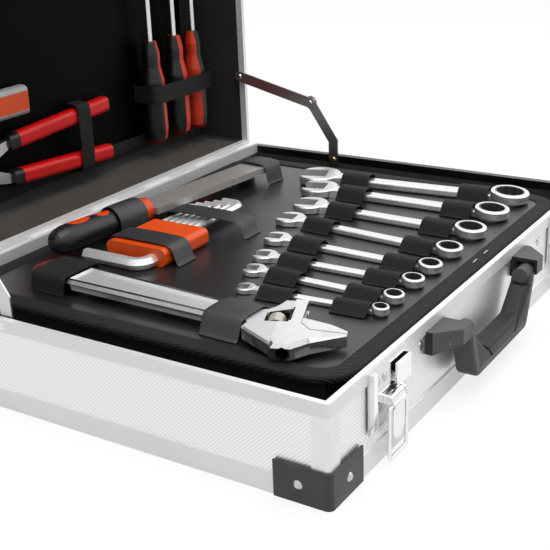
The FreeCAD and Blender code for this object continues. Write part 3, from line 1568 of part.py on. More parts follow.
# Pallet body with its tools
save("pallet_board", [slab(pallet_half_x, pallet_half_y, pallet_radius, pallet_low, pallet_top)])
save("pallet_binding", [bound_edge(pallet_half_x, pallet_half_y, pallet_radius, pallet_low, pallet_top,
                                   binding_width)])
save("pallet_staples", pallet_staples())
wrenches, loops = wrench_row()
save("combination_wrenches", wrenches)
save("elastic_loops", loops)
save("rubber_straps", rubber_straps())
save("hex_key_holder", [key_holder()])
save("hex_keys", small_keys(0) + [large_key(0)])
save("file_blade", [file_blade()])
save("file_handle", [file_handle()])
save("adjustable_wrench_body", [adjustable_body()])
save("adjustable_wrench_jaw", [adjustable_jaw()])
save("adjustable_wrench_worm", [adjustable_worm()])
save("adjustable_wrench_worm_pin", [head_place(worm_pin(0))])
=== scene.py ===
import json
import math
import bpy
from mathutils import Matrix, Vector


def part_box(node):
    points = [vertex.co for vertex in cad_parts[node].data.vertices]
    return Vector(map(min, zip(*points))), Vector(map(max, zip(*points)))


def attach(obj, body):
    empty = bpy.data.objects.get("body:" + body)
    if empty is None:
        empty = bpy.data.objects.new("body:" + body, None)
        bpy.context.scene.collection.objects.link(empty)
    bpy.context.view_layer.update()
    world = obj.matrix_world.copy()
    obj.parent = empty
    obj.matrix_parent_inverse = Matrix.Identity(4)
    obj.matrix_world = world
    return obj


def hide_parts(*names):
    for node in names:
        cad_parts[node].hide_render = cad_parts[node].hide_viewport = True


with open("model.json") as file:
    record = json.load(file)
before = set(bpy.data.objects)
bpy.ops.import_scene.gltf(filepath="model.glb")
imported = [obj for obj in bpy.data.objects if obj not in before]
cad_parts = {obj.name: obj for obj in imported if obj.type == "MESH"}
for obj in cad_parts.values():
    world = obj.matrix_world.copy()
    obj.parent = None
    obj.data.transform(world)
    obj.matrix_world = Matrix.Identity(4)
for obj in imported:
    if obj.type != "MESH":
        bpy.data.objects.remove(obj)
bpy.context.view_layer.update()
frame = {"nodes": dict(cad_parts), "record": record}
cad = frame["nodes"]
print("frame in place:", len(cad), "nodes")


# shader sums: a wire stands for a socket and adds Math nodes as it is used
class Wire:
    def __init__(self, bench, socket):
        self.bench = bench
        self.socket = socket

    def maths(self, operation, *values):
        return self.bench.add("ShaderNodeMath", {"operation": operation}, dict(enumerate(values)))

    def __add__(self, other):
        return self.maths("ADD", self, other)

    def __radd__(self, other):
        return self.maths("ADD", other, self)

    def __sub__(self, other):
        return self.maths("SUBTRACT", self, other)

    def __rsub__(self, other):
        return self.maths("SUBTRACT", other, self)

    def __mul__(self, other):
        return self.maths("MULTIPLY", self, other)

    def __rmul__(self, other):
        return self.maths("MULTIPLY", other, self)

    def __truediv__(self, other):
        return self.maths("DIVIDE", self, other)

    def __abs__(self):
        return self.maths("ABSOLUTE", self)

    def __gt__(self, other):
        return self.maths("GREATER_THAN", self, other)

    def __lt__(self, other):
        return self.maths("LESS_THAN", self, other)

    def most(self, other):
        return self.maths("MAXIMUM", self, other)


# one material on the bench: fixed sockets first, then nodes, then what varies
class Bench:
    def __init__(self, name, fixed):
        self.material = bpy.data.materials.new(name)
        self.material.use_nodes = True
        self.tree = self.material.node_tree
        self.shader = self.tree.nodes["Principled BSDF"]
        for socketName, value in fixed.items():
            self.shader.inputs[socketName].default_value = value
        self.spot = self.add("ShaderNodeTexCoord", {}, {}, "Object")
        self.x, self.y, self.z = self.split(self.spot)

    def split(self, wire):
        parts = self.add("ShaderNodeSeparateXYZ", {}, {0: wire}).socket.node.outputs
        return [Wire(self, parts[axis]) for axis in "XYZ"]

    def join(self, x, y, z):
        return self.add("ShaderNodeCombineXYZ", {}, {0: x, 1: y, 2: z})

    def add(self, kind, settings, feeds, output=0):
        node = self.tree.nodes.new(kind)
        for key, value in settings.items():
            setattr(node, key, value)
        for key, value in feeds.items():
            self.feed(node.inputs[key], value)
        return Wire(self, node.outputs[output])

    def feed(self, socket, value):
        if isinstance(value, Wire):
            self.tree.links.new(value.socket, socket)
        else:
            socket.default_value = value

    def facing(self):                              # x, y and z of the surface normal
        return self.split(self.add("ShaderNodeTexCoord", {}, {}, "Normal"))

    def noise(self, scale, detail=2.0, spot=None):
        return self.add("ShaderNodeTexNoise", {}, {"Vector": spot or self.spot, "Scale": scale, "Detail": detail})

    def stretched(self, scale):                    # object place, scaled unevenly for brushed or drawn grain
        return self.add("ShaderNodeMapping", {}, {"Vector": self.spot, "Scale": scale})

    def wave(self, length, pitch):                 # -1..1 along a length in metres
        return length.maths("SINE", length * (2 * math.pi / pitch))

    def ramp(self, value, low, high):              # 0 below low, 1 above high
        return self.add("ShaderNodeMapRange", {"interpolation_type": "SMOOTHSTEP"}, {0: value, 1: low, 2: high})

    def mix(self, share, first, second):
        first = (*first, 1) if isinstance(first, tuple) else first
        second = (*second, 1) if isinstance(second, tuple) else second
        return self.add("ShaderNodeMix", {"data_type": "RGBA"}, {0: share, 6: first, 7: second}, 2)

    def bump(self, height, strength, distance):
        feeds = {"Height": height, "Strength": strength, "Distance": distance}
        self.feed(self.shader.inputs["Normal"], self.add("ShaderNodeBump", {}, feeds))

    def finish(self, **varied):
        for socketName, wire in varied.items():
            self.feed(self.shader.inputs[socketName.replace("_", " ")], wire)
        return self.material


relief = {"brushed": 0.0001, "moulded": 0.0002, "pile": 0.0005}      # bump heights in metres
clouds = {"metal": (0.35, 0.8), "profile": (0.4, 0.8), "mould": (0.3, 0.75), "scuff": (0.5, 0.8)}
level = 0.95                                       # a normal's rise on flat upper faces
upright = 0.3                                      # and below this on side faces


def metal(name, look):                             # plated or drawn metal: streaks and faint handling clouds
    bench = Bench(name, {"Metallic": look["metallic"]})
    cloud = bench.ramp(bench.noise(look["cloud"], 4), *clouds["metal"])
    streak = bench.noise(1, 3, bench.stretched(look["grain"]))
    colour = bench.mix(cloud * look["patch"] + streak * look["streak"], look["colour"], look["dim"])
    bench.bump(streak, look["depth"], relief["brushed"])
    return bench.finish(Base_Color=colour, Roughness=look["rough"] + (streak + cloud) * look["vary"])


def drawnProfile(name, look):                      # die lines run round the base rim and round the lid rim
    bench = Bench(name, {"Metallic": look["metallic"]})
    onLid = bench.z > look["lidLow"]
    onBase = (abs(bench.x) - look["halfX"]).most(abs(bench.y) - look["halfY"])
    onFrame = (abs(bench.x) - look["halfX"]).most(abs(bench.z - look["lidMiddle"]) - look["halfY"])
    across = onBase + onLid * (onFrame - onBase)
    rise = bench.z + onLid * (bench.y - bench.z)
    line = bench.noise(look["lines"], 2, bench.join(across, rise, 0.0))
    cloud = bench.ramp(bench.noise(look["cloud"], 4), *clouds["profile"])
    colour = bench.mix(line * look["streak"] + cloud * look["patch"], look["colour"], look["dim"])
    lined = (bench.x * bench.facing()[0] < -look["linedFrom"]) * (1 - onLid)
    colour = bench.mix(lined, colour, look["lined"])   # near black on the inner faces of the base's side rims
    bench.bump(line, look["depth"], relief["brushed"])
    return bench.finish(Base_Color=colour, Roughness=look["rough"] + (line + cloud) * look["vary"])


def panelSheet(name, look):                        # sheet rolled with fine slanting lines
    bench = Bench(name, {"Metallic": look["metallic"]})
    line = bench.ramp(bench.wave(bench.x + bench.y + bench.z, look["pitch"]), *look["crest"])
    cloud = bench.noise(look["cloud"], 4)
    colour = bench.mix(line * look["tint"] + cloud * look["patch"], look["colour"], look["groove"])
    bench.bump(line, look["depth"], look["relief"])
    return bench.finish(Base_Color=colour, Roughness=look["rough"] + cloud * look["vary"])


def moulded(name, look):                           # moulded plastic or rubber with a fine grain
    bench = Bench(name, {"Specular IOR Level": look.get("gloss", 0.5)})
    return bench.finish(**mouldedFeeds(bench, look, look["colour"]))


def mouldedFeeds(bench, look, colour):
    grain = bench.noise(look["grain"], 3)
    cloud = bench.ramp(bench.noise(look["cloud"], 3), *clouds["mould"])
    worn = bench.mix(cloud * (1 - look["shade"]), colour, (0.0, 0.0, 0.0))
    bench.bump(grain, look["depth"], relief["moulded"])
    return {"Base_Color": worn, "Roughness": look["rough"] + grain * look["vary"] + cloud * look["vary"]}


def turnedPlace(bench, look):                      # along and across a tool that lies at an angle
    turn = math.radians(look["turn"])
    east, north = bench.x - look["root"][0], bench.y - look["root"][1]
    return east * math.cos(turn) + north * math.sin(turn), north * math.cos(turn) - east * math.sin(turn)


def fileGrip(name, look):                          # black grip, coloured collar and two oval inlays on top
    bench = Bench(name, {})
    along, across = turnedPlace(bench, look)
    mark = along > -look["collar"]
    for middle, half in look["ovals"]:
        far, wide = (along - middle) / half, across / look["ovalWide"]
        oval = bench.ramp(look["ovalReach"] - far * far - wide * wide, 0.0, look["ovalSoft"])
        mark = mark.most(oval * (bench.z > look["ovalLow"]))
    return bench.finish(**mouldedFeeds(bench, look, bench.mix(mark, look["colour"], look["inlay"])))


def driverGrip(name, look):                        # black grips in a row, each with bright and grey inlays
    bench = Bench(name, {})
    low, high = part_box("screwdriver_handles")
    gaps = look["count"] - 1
    first, step = low.x + look["radius"], (high.x - low.x - 2 * look["radius"]) / gaps
    share = (bench.x - first) / step + 0.5
    beside = (share - share.maths("FLOOR", share) - 0.5) * step
    last = share > gaps
    bright = (abs(beside - look["stripe"]) < look["stripeWide"]) * (1 - last) + (beside < -look["side"]) * last
    grey = abs(beside - look["fin"]) < look["finWide"]
    foot = bench.z < low.z + look["foot"]
    colour = bench.mix(grey, look["colour"], look["grey"])
    colour = bench.mix(bright, colour, look["inlay"])
    colour = bench.mix(foot, colour, look["heel"])
    return bench.finish(**mouldedFeeds(bench, look, colour))


def knifeShell(name, look):                        # bright shell between grey edges
    bench = Bench(name, {})
    low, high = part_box("knife_body")
    middle, half = (low.z + high.z) / 2, (high.z - low.z) / 2
    edge = bench.ramp(abs(bench.z - middle) / half, *look["edge"])
    return bench.finish(**mouldedFeeds(bench, look, bench.mix(edge, look["colour"], look["grey"])))


def pivotHead(name, look):                         # plated outer heads, brass inner ends
    bench = Bench(name, {"Metallic": look["metallic"]})
    wear = bench.noise(look["grain"], 3)
    colour = bench.mix(abs(bench.x) > look["outerFrom"], look["brass"], look["plated"])
    colour = bench.mix(wear * look["patch"], colour, look["dim"])
    return bench.finish(Base_Color=colour, Roughness=look["rough"] + wear * look["vary"])


def latchPlate(name, look):                        # polished cheeks and cover; the plate behind them darker and rougher
    bench = Bench(name, {"Metallic": look["metallic"]})
    deep = bench.ramp(bench.y, look["front"], look["back"])
    scuff = bench.ramp(bench.noise(look["cloud"], 4), *clouds["scuff"])
    colour = bench.mix(deep, look["raised"], look["plate"])
    colour = bench.mix(scuff * look["patch"], colour, look["dim"])
    return bench.finish(Base_Color=colour, Roughness=look["rough"] + scuff * look["vary"] + deep * look["vary"])


def bracketShell(name, look):                      # mid grey moulding; its end faces darkened as painted shade
    bench = Bench(name, {})
    # painted shade: faces turned along x take the dark colour
    end = bench.ramp(abs(bench.facing()[0]), *look["end"])
    return bench.finish(**mouldedFeeds(bench, look, bench.mix(end, look["colour"], look["dark"])))


def forgedBody(name, look):                        # bright ground faces, dull recesses; the slide bore near black and not metallic, as painted shade
    bench = Bench(name, {})
    up = bench.facing()[2]
    near = look["layer"]
    sunk = (abs(bench.z - look["recess"]) < near).most(abs(bench.z - look["step"]) < near) * (up > level)
    bevel = bench.ramp(up, *look["bevel"]) * (up < level)
    deep, lift = turnedPlace(bench, look)[1] - look["slideDeep"], bench.z - look["slideHigh"]
    bore = deep * deep + lift * lift < look["slideRadius"] ** 2
    pits = bench.noise(look["pits"], 4)
    streak = bench.noise(1, 3, bench.stretched(look["grain"]))
    dull = bevel * (look["bevelDull"] + pits * look["pitDull"]) + sunk * look["sunkDull"]
    colour = bench.mix(dull + streak * look["streak"], look["colour"], look["dim"])
    # painted shade: the slide bore takes a near-black colour
    colour = bench.mix(bore, colour, look["boreShade"])
    bench.bump(pits * bevel + streak * look["streakRise"], look["depth"], relief["moulded"])
    rough = look["rough"] + (sunk + bevel) * look["dullRough"]
    rough = rough + streak * look["vary"] - (abs(up) < upright) * look["vary"]
    return bench.finish(Base_Color=colour, Roughness=rough, Metallic=(1 - sunk * look["sunkMatt"]) * (1 - bore))


def wormThread(name, look):                        # pale ridge crests; flanks and gaps darkened as painted shade
    bench = Bench(name, {"Metallic": look["metallic"]})
    deep, lift = turnedPlace(bench, look)[1] - look["wormDeep"], bench.z - look["slideHigh"]
    square = deep * deep + lift * lift
    ridge = bench.ramp(square.maths("SQRT", square), *look["crest"])
    wear = bench.noise(look["wear"], 3)
    # painted shade: the gap colour darkens the flanks and gaps between ridges
    colour = bench.mix(ridge * (1 - look["wearTint"]) + wear * look["wearTint"], look["gap"], look["ridge"])
    return bench.finish(Base_Color=colour, Roughness=look["rough"] - ridge * look["ridgeShine"])


def ringedChrome(name, look, row):                 # satin wrenches; ring bores darkened as painted shade, and rougher
    bench = Bench(name, {"Metallic": look["metallic"]})
    bores = []
    for size, ringX in zip(row["size"], row["ringX"]):
        east, north = bench.x - ringX, bench.y - (row["front"] + size * row["ringShare"])
        bores.append(east * east + north * north < (size * look["bore"]) ** 2)
    inside = bores[0]
    for bore in bores[1:]:
        inside = inside.most(bore)
    cloud = bench.ramp(bench.noise(look["cloud"], 4), *clouds["metal"])
    streak = bench.noise(1, 3, bench.stretched(look["grain"]))
    colour = bench.mix(cloud * look["patch"] + streak * look["streak"], look["colour"], look["dim"])
    # painted shade: the inside colour darkens the ring bores
    colour = bench.mix(inside, colour, look["inside"])
    rough = look["rough"] + (streak + cloud) * look["vary"] + inside * look["boreRough"]
    return bench.finish(Base_Color=colour, Roughness=rough)


def dippedSleeve(name, look):                      # glossy sleeve that starts past a black neck
    bench = Bench(name, {"Specular IOR Level": look["gloss"]})
    colour = bench.mix(bench.x < look["neck"], look["colour"], look["neckColour"])
    return bench.finish(**mouldedFeeds(bench, look, colour))


def wovenTape(name, look):                         # twill tape: fine slanting ribs over a soft pile
    bench = Bench(name, look["cloth"])
    lean, rise = look["lean"], look["rise"]
    rib = bench.ramp(bench.wave(bench.x + bench.y * lean + bench.z * rise, look["pitch"]), *look["crest"])
    cross = bench.ramp(bench.wave(bench.y - bench.x * lean + bench.z * rise, look["pitch"]), *look["crest"])
    cell = rib * look["ribShare"] + cross * (1 - look["ribShare"])
    fuzz = bench.noise(look["fuzz"], 2)
    colour = bench.mix(cell * (1 - look["fuzzTint"]) + fuzz * look["fuzzTint"], look["dark"], look["light"])
    bench.bump(cell + fuzz * look["fuzzRise"], look["depth"], look["relief"])
    return bench.finish(Base_Color=colour, Roughness=look["rough"] - cell * look["vary"])


def ribbedElastic(name, look):                     # ribs follow the strip's own map
    bench = Bench(name, look["cloth"])
    along = bench.split(bench.add("ShaderNodeTexCoord", {}, {}, "UV"))[1]
    quarter = 0.25 / look["ribs"]
    rib = bench.ramp(bench.wave(along - quarter, 1 / look["ribs"]), *look["crest"])
    fuzz = bench.noise(look["fuzz"], 3)
    colour = bench.mix(rib * (1 - look["fuzzTint"]) + fuzz * look["fuzzTint"], look["dark"], look["light"])
    bench.bump(rib + fuzz * look["fuzzRise"], look["depth"], look["relief"])
    return bench.finish(Base_Color=colour, Roughness=look["rough"] - rib * look["vary"])


def felt(name, look):                              # pressed lining; its side walls darkened as painted shade
    bench = Bench(name, look["cloth"])
    pile = bench.noise(look["pile"], 5)
    patch = bench.noise(look["patches"], 3)
    colour = bench.mix(pile * look["pileShare"] + patch * (1 - look["pileShare"]), look["dark"], look["light"])
    # painted shade: the side colour darkens the side walls of both linings
    colour = bench.mix((abs(bench.x) > look["sideFrom"]) * look["sideShadeShare"], colour, look["side"])
    bench.bump(pile, look["depth"], relief["pile"])
    return bench.finish(Base_Color=colour, Roughness=look["rough"] + pile * look["vary"])


def brightMetal(name, grain, **changes):
    look = {"colour": (0.88, 0.88, 0.885), "dim": (0.55, 0.55, 0.56), "cloud": 40, "grain": grain, "patch": 0.15,
            "streak": 0.15, "depth": 0.02, "rough": 0.16, "vary": 0.06, "metallic": 1.0}
    return metal(name, {**look, **changes})


def plainMould(name, colour, **changes):
    look = {"colour": colour, "shade": 0.82, "cloud": 45, "grain": 1400, "depth": 0.12, "rough": 0.36, "vary": 0.08}
    return moulded(name, {**look, **changes})


palletTop = 0.0665
ribCount = 18                                      # ribs across one elastic strap
wrenchRow = {
    "size": (22, 19, 17, 14, 12, 11, 10, 8),
    "length": (0.230, 0.207, 0.188, 0.182, 0.164, 0.150, 0.140, 0.124),
    "ringX": (0.1797, 0.1305, 0.0786, 0.0294, -0.0102, -0.0425, -0.0765, -0.1009),
    "openX": (0.1641, 0.1293, 0.0830, 0.0423, -0.0052, -0.0446, -0.0740, -0.1078),
    "ringShare": 0.0008, "jawShare": 0.00097,      # radii of the two heads for each millimetre of size
    "shankWide": (0.0005, 0.0026), "shankHigh": (0.00026, 0.0016),
    "front": -0.1515, "width": 0.028, "thick": 0.0012, "crown": 0.35, "slack": 0.0008,
    "flange": 0.0075, "ringGap": 0.0008, "jawGap": 0.006,
}
flatCloth = {"Sheen Weight": 0.03, "Sheen Roughness": 0.5, "Specular IOR Level": 0.2}
elasticCloth = {"Sheen Weight": 0.02, "Sheen Roughness": 0.4, "Specular IOR Level": 0.2}
feltCloth = {"Sheen Weight": 0.1, "Sheen Roughness": 0.6, "Specular IOR Level": 0.15}

finishes = {
    "panel": panelSheet("embossedSheet", {"colour": (0.95, 0.95, 0.945), "groove": (0.60, 0.60, 0.60),
                        "pitch": 0.0029, "crest": (-0.4, 0.9), "tint": 0.45, "patch": 0.1, "depth": 0.2,
                        "relief": 0.0004, "metallic": 0.8, "cloud": 9, "rough": 0.32, "vary": 0.10}),
    "profile": drawnProfile("anodisedProfile", {"colour": (0.92, 0.92, 0.915), "dim": (0.58, 0.58, 0.58),
                            "halfX": 0.244, "halfY": 0.184, "lidLow": 0.0708, "lidMiddle": 0.2546, "lines": 1500,
                            "cloud": 20, "streak": 0.2, "patch": 0.1, "depth": 0.03, "rough": 0.32, "vary": 0.06,
                            "metallic": 0.4, "lined": (0.006, 0.006, 0.006), "linedFrom": 0.12}),
    "rivet": brightMetal("platedRivet", (300, 300, 300), colour=(0.55, 0.54, 0.53), rough=0.2),
    "hinge_steel": brightMetal("rolledHinge", (20, 900, 900), colour=(0.84, 0.84, 0.83), rough=0.34, metallic=0.4),
    "stay_steel": brightMetal("zincStay", (900, 60, 60), colour=(0.60, 0.60, 0.59), rough=0.28, streak=0.3),
    "latch_plating": brightMetal("brightPlating", (200, 200, 900), colour=(0.88, 0.885, 0.89), dim=(0.3, 0.3, 0.31),
                                 patch=0.1, cloud=90, rough=0.07, vary=0.04),
    "wire": brightMetal("stapleWire", (300, 300, 300), colour=(0.72, 0.68, 0.62), rough=0.22),
    "tool_chrome": ringedChrome("satinChrome", {"colour": (0.92, 0.915, 0.90), "dim": (0.55, 0.55, 0.55),
                                # the inside colour is painted shade in the ring bores
                                "inside": (0.12, 0.12, 0.12), "bore": 0.00060, "cloud": 35,
                                "grain": (120, 120, 700), "patch": 0.10, "streak": 0.05, "rough": 0.24, "vary": 0.06,
                                "boreRough": 0.2, "metallic": 0.85}, wrenchRow),
    "tool_steel": brightMetal("toolSteel", (300, 300, 300), colour=(0.80, 0.80, 0.80), rough=0.2),
    "file_steel": brightMetal("fileSteel", (500, 500, 500), colour=(0.52, 0.50, 0.48), dim=(0.26, 0.25, 0.24),
                              streak=0.4, depth=0.08, rough=0.36, metallic=0.6),
    "corner_cap": plainMould("cornerPlastic", (0.035, 0.035, 0.037), rough=0.38),
    "handle_shell": plainMould("handleShell", (0.095, 0.094, 0.090), rough=0.42, depth=0.16, gloss=0.3),
    "handle_rubber": plainMould("softGrip", (0.022, 0.022, 0.022), rough=0.44, depth=0.18, gloss=0.35),
    "board": plainMould("satinBoard", (0.012, 0.012, 0.012), cloud=14, rough=0.28, vary=0.04, depth=0.04, gloss=0.75),
    "batten": plainMould("stainedBatten", (0.05, 0.04, 0.03), cloud=30, grain=500, rough=0.6),
    "strap_rubber": plainMould("strapRubber", (0.030, 0.030, 0.031), grain=1100, rough=0.38, depth=0.16, gloss=0.6),
    "holder_plastic": plainMould("orangeHolder", (0.80, 0.085, 0.006), rough=0.28, shade=0.92, depth=0.06),
    "file_grip": fileGrip("fileGrip", {"colour": (0.010, 0.010, 0.011), "inlay": (0.75, 0.065, 0.005),
                          "root": (-0.01626, 0.13085), "turn": -6.1, "collar": 0.011, "ovalWide": 0.0052,
                          "ovalLow": 0.0845, "ovalReach": 1.12, "ovalSoft": 0.2,
                          "ovals": ((-0.079, 0.0115), (-0.053, 0.0075)), "shade": 0.8, "cloud": 60,
                          "grain": 1500, "depth": 0.1, "rough": 0.28, "vary": 0.08}),
    "pliers_grip": dippedSleeve("redSleeve", {"colour": (0.62, 0.003, 0.002), "neck": -0.055,
                                "neckColour": (0.006, 0.006, 0.006), "gloss": 0.4, "shade": 0.9, "cloud": 40,
                                "grain": 900, "depth": 0.05, "rough": 0.27, "vary": 0.06}),
    "knife_plastic": knifeShell("knifeShell", {"colour": (0.72, 0.07, 0.006), "grey": (0.36, 0.36, 0.35),
                                "edge": (0.62, 0.66), "shade": 0.9, "cloud": 40, "grain": 900, "depth": 0.06,
                                "rough": 0.28, "vary": 0.06}),
    "driver_grip": driverGrip("driverGrip", {"colour": (0.004, 0.004, 0.005), "grey": (0.09, 0.09, 0.092),
                              "inlay": (0.66, 0.035, 0.008), "heel": (0.25, 0.002, 0.002), "count": 3,
                              "radius": 0.013, "stripe": 0.0035, "stripeWide": 0.0035, "side": 0.005, "fin": 0.0098,
                              "finWide": 0.0016, "foot": 0.004, "shade": 0.85, "cloud": 50, "grain": 1200,
                              "depth": 0.06, "rough": 0.26, "vary": 0.08}),
    "binding": wovenTape("bindingTape", {"cloth": flatCloth, "pitch": 0.0022, "lean": 0.35, "rise": 0.6,
                         "crest": (-0.5, 0.8), "ribShare": 0.65, "dark": (0.0006, 0.0006, 0.0006),
                         "light": (0.024, 0.023, 0.022), "fuzz": 2600, "fuzzTint": 0.2, "fuzzRise": 0.4,
                         "depth": 0.6, "relief": 0.0006, "rough": 0.72, "vary": 0.2}),
    "elastic": ribbedElastic("ribbedElastic", {"cloth": elasticCloth, "ribs": ribCount, "crest": (-0.6, 0.9),
                             "dark": (0.0005, 0.0005, 0.0005), "light": (0.026, 0.025, 0.023), "fuzz": 1800,
                             "fuzzTint": 0.3, "fuzzRise": 0.3, "depth": 0.6, "relief": 0.0005, "rough": 0.66,
                             "vary": 0.18}),
    # the side colour below is painted shade on the linings' side walls
    "lining": felt("feltLining", {"cloth": feltCloth, "dark": (0.028, 0.025, 0.022), "light": (0.075, 0.067, 0.060),
                   "side": (0.003, 0.003, 0.003), "sideFrom": 0.228, "sideShadeShare": 0.8, "pile": 900, "patches": 30,
                   "pileShare": 0.6, "depth": 0.4, "rough": 0.88, "vary": 0.1}),
}
slide = {"root": (-0.16524, -0.1187), "turn": 22.5, "slideHigh": 0.0745}
worm = {**slide, "wormDeep": 0.0186, "crest": (0.0057, 0.0063), "ridge": (0.78, 0.76, 0.68),
        # the gap colour is painted shade between the thread ridges
        "gap": (0.03, 0.028, 0.025), "wear": 700, "wearTint": 0.15, "rough": 0.42, "ridgeShine": 0.16,
        "metallic": 0.8}
# the bore colour is painted shade inside the slide bore
forged = {**slide, "slideDeep": 0.0075, "slideRadius": 0.00448, "boreShade": (0.01, 0.01, 0.01),
          "colour": (0.92, 0.92, 0.92), "dim": (0.22, 0.22, 0.225), "recess": 0.0774, "step": 0.0798, "layer": 0.0004,
          "bevel": (0.02, 0.3), "bevelDull": 0.35, "pitDull": 0.5, "sunkDull": 0.25, "sunkMatt": 0.45,
          "pits": 900, "grain": (200, 200, 900), "streak": 0.1, "streakRise": 0.15, "depth": 0.12, "rough": 0.17,
          "dullRough": 0.2, "vary": 0.08}
nodeFinishes = {
    "adjustable_wrench_body": forgedBody("forgedBody", forged),
    "adjustable_wrench_jaw": forgedBody("forgedJaw", {**forged, "step": 0.0}),
    "adjustable_wrench_worm": wormThread("wormThread", worm),
    "hex_keys": brightMetal("keySteel", (60, 900, 900), colour=(0.95, 0.95, 0.95), rough=0.3, metallic=0.65),
    "lid_board": plainMould("lidBoard", (0.001, 0.001, 0.001), cloud=14, rough=0.36, depth=0.04, gloss=0.05),
    # the dark colour of the brackets is painted shade on their end faces
    "handle_brackets": bracketShell("bracketShell", {"colour": (0.075, 0.075, 0.075), "dark": (0.006, 0.006, 0.006),
                                    "end": (0.86, 0.95), "shade": 0.86, "cloud": 45, "grain": 1400, "depth": 0.12,
                                    "rough": 0.42, "vary": 0.08}),
    "base_corner_posts": brightMetal("uprightPost", (900, 900, 20), colour=(0.88, 0.88, 0.875), rough=0.32,
                                     metallic=0.7),
    "lid_corner_posts": brightMetal("lidPost", (900, 20, 900), colour=(0.88, 0.88, 0.875), rough=0.32, metallic=0.7),
    "latch_plates": latchPlate("latchPlate", {"raised": (0.90, 0.90, 0.91), "plate": (0.70, 0.70, 0.72),
                               "dim": (0.2, 0.2, 0.2), "front": -0.1858, "back": -0.1854, "cloud": 220, "patch": 0.12,
                               "rough": 0.07, "vary": 0.06, "metallic": 1.0}),
    "stay_base_pivots": pivotHead("pivotHead", {"plated": (0.85, 0.85, 0.85), "brass": (0.55, 0.38, 0.16),
                                  "dim": (0.3, 0.25, 0.2), "outerFrom": 0.243, "grain": 400, "patch": 0.3,
                                  "rough": 0.22, "vary": 0.1, "metallic": 0.9}),
}
for entry in frame["record"]["subparts"]:
    node = cad[entry["node"]]
    node.data.materials.clear()
    node.data.materials.append(nodeFinishes.get(entry["node"], finishes[entry["material_slot"]]))
print("finishes on:", len(finishes) + len(nodeFinishes))


def unpick():
    if bpy.context.object and bpy.context.object.mode != "OBJECT":
        bpy.ops.object.mode_set(mode="OBJECT")
    bpy.ops.object.select_all(action="DESELECT")


def pickPoints(piece, wanted):                     # edit mode with only these points selected
    bpy.ops.object.mode_set(mode="EDIT")
    bpy.ops.mesh.select_mode(type="VERT")
    bpy.ops.mesh.select_all(action="DESELECT")
    bpy.ops.object.mode_set(mode="OBJECT")
    for index in wanted:
        piece.data.vertices[index].select = True
    bpy.ops.object.mode_set(mode="EDIT")


def addModifier(piece, kind, settings):
    modifier = piece.modifiers.new(kind.title(), kind)
    for key, value in settings.items():
        setattr(modifier, key, value)
    bpy.ops.object.modifier_apply(modifier=modifier.name)


def settle(piece, place, finish):                  # place goes into the mesh, then the finish
    piece.matrix_world = place
    bpy.ops.object.transform_apply(location=True, rotation=True, scale=True)
    bpy.ops.object.shade_smooth()
    piece.data.materials.clear()
    piece.data.materials.append(finish)
    return piece


strapMesh = {"plainCuts": 4, "ribHeight": 0.0004, "ribbedRounds": 1, "plainRounds": 2}


def layStrap(name, rows, width, thick, place, finish, ribs=0):
    unpick()
    last, cuts = len(rows) - 1, max(strapMesh["plainCuts"], 2 * ribs)
    rounds = strapMesh["ribbedRounds" if ribs else "plainRounds"]
    bpy.ops.mesh.primitive_grid_add(x_subdivisions=last, y_subdivisions=cuts, size=1)
    strap = bpy.context.object
    strap.name = name
    lines = [[] for row in rows]
    for point in strap.data.vertices:
        lines[round((point.co.x + 0.5) * last)].append(point.index)
    crests = [point.index for point in strap.data.vertices if round((point.co.y + 0.5) * cuts) % 2]
    for count, (across, up) in enumerate(rows):
        pickPoints(strap, lines[count])
        bpy.ops.transform.translate(value=(across - count / last + 0.5, 0, up))
    bpy.ops.mesh.select_all(action="SELECT")
    bpy.ops.transform.resize(value=(1, width, 1))
    if ribs:
        pickPoints(strap, crests)
        bpy.ops.transform.shrink_fatten(value=strapMesh["ribHeight"])
    bpy.ops.object.mode_set(mode="OBJECT")
    addModifier(strap, "SOLIDIFY", {"thickness": thick, "offset": 0})
    addModifier(strap, "SUBSURF", {"levels": rounds, "render_levels": rounds})
    return settle(strap, place, finish)


archShape = {"hemShare": 0.3, "hemMost": 0.0025,
             "slant": ((0.85, 0.10), (0.45, 0.50)),            # shares of the slope and of the rise
             "shoulder": (0.08, 0.92),
             "crown": ((0.90, 0.3), (0.62, 0.8), (0.3, 0.97))}   # shares of the half span and of the crown


def archRows(half, rise, foot, thick, crown=0.06):  # sewn hem, straight slant up to the shoulder, crown
    half, rise, low = half + thick / 2, rise + thick / 2, thick / 2
    slope = foot - min(foot * archShape["hemShare"], archShape["hemMost"])
    side = [(half + foot, low), (half + slope, low)]
    side += [(half + slope * out, low + rise * up) for out, up in archShape["slant"]]
    out, up = archShape["shoulder"]
    side.append((half + slope * out, rise * up))
    side += [(half * out, rise * (1 + crown * up)) for out, up in archShape["crown"]]
    return [(-across, up) for across, up in side] + [(0, rise * (1 + crown))] + side[::-1]


hoopShape = {"hemShare": 0.2, "lift": 0.001, "turns": (0, 18, 36, 54, 72)}


def hoopRows(half, rise, foot, thick):             # upright sides into a half round over a bar
    half, rise, low = half + thick / 2, rise + thick / 2, thick / 2
    side = [(half + foot, low), (half + foot * hoopShape["hemShare"], low), (half, low + hoopShape["lift"])]
    turns = [math.radians(angle) for angle in hoopShape["turns"]]
    side += [(half * math.cos(turn), rise - half + half * math.sin(turn)) for turn in turns]
    return [(-across, up) for across, up in side] + [(0, rise)] + side[::-1]


def joinPieces(name, pieces):
    unpick()
    for piece in pieces:
        piece.select_set(True)
    bpy.context.view_layer.objects.active = pieces[0]
    bpy.ops.object.join()
    pieces[0].name = name
    return pieces[0]


def standsFor(piece, body, slot, *nodeNames):
    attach(piece, body)
    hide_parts(*nodeNames)


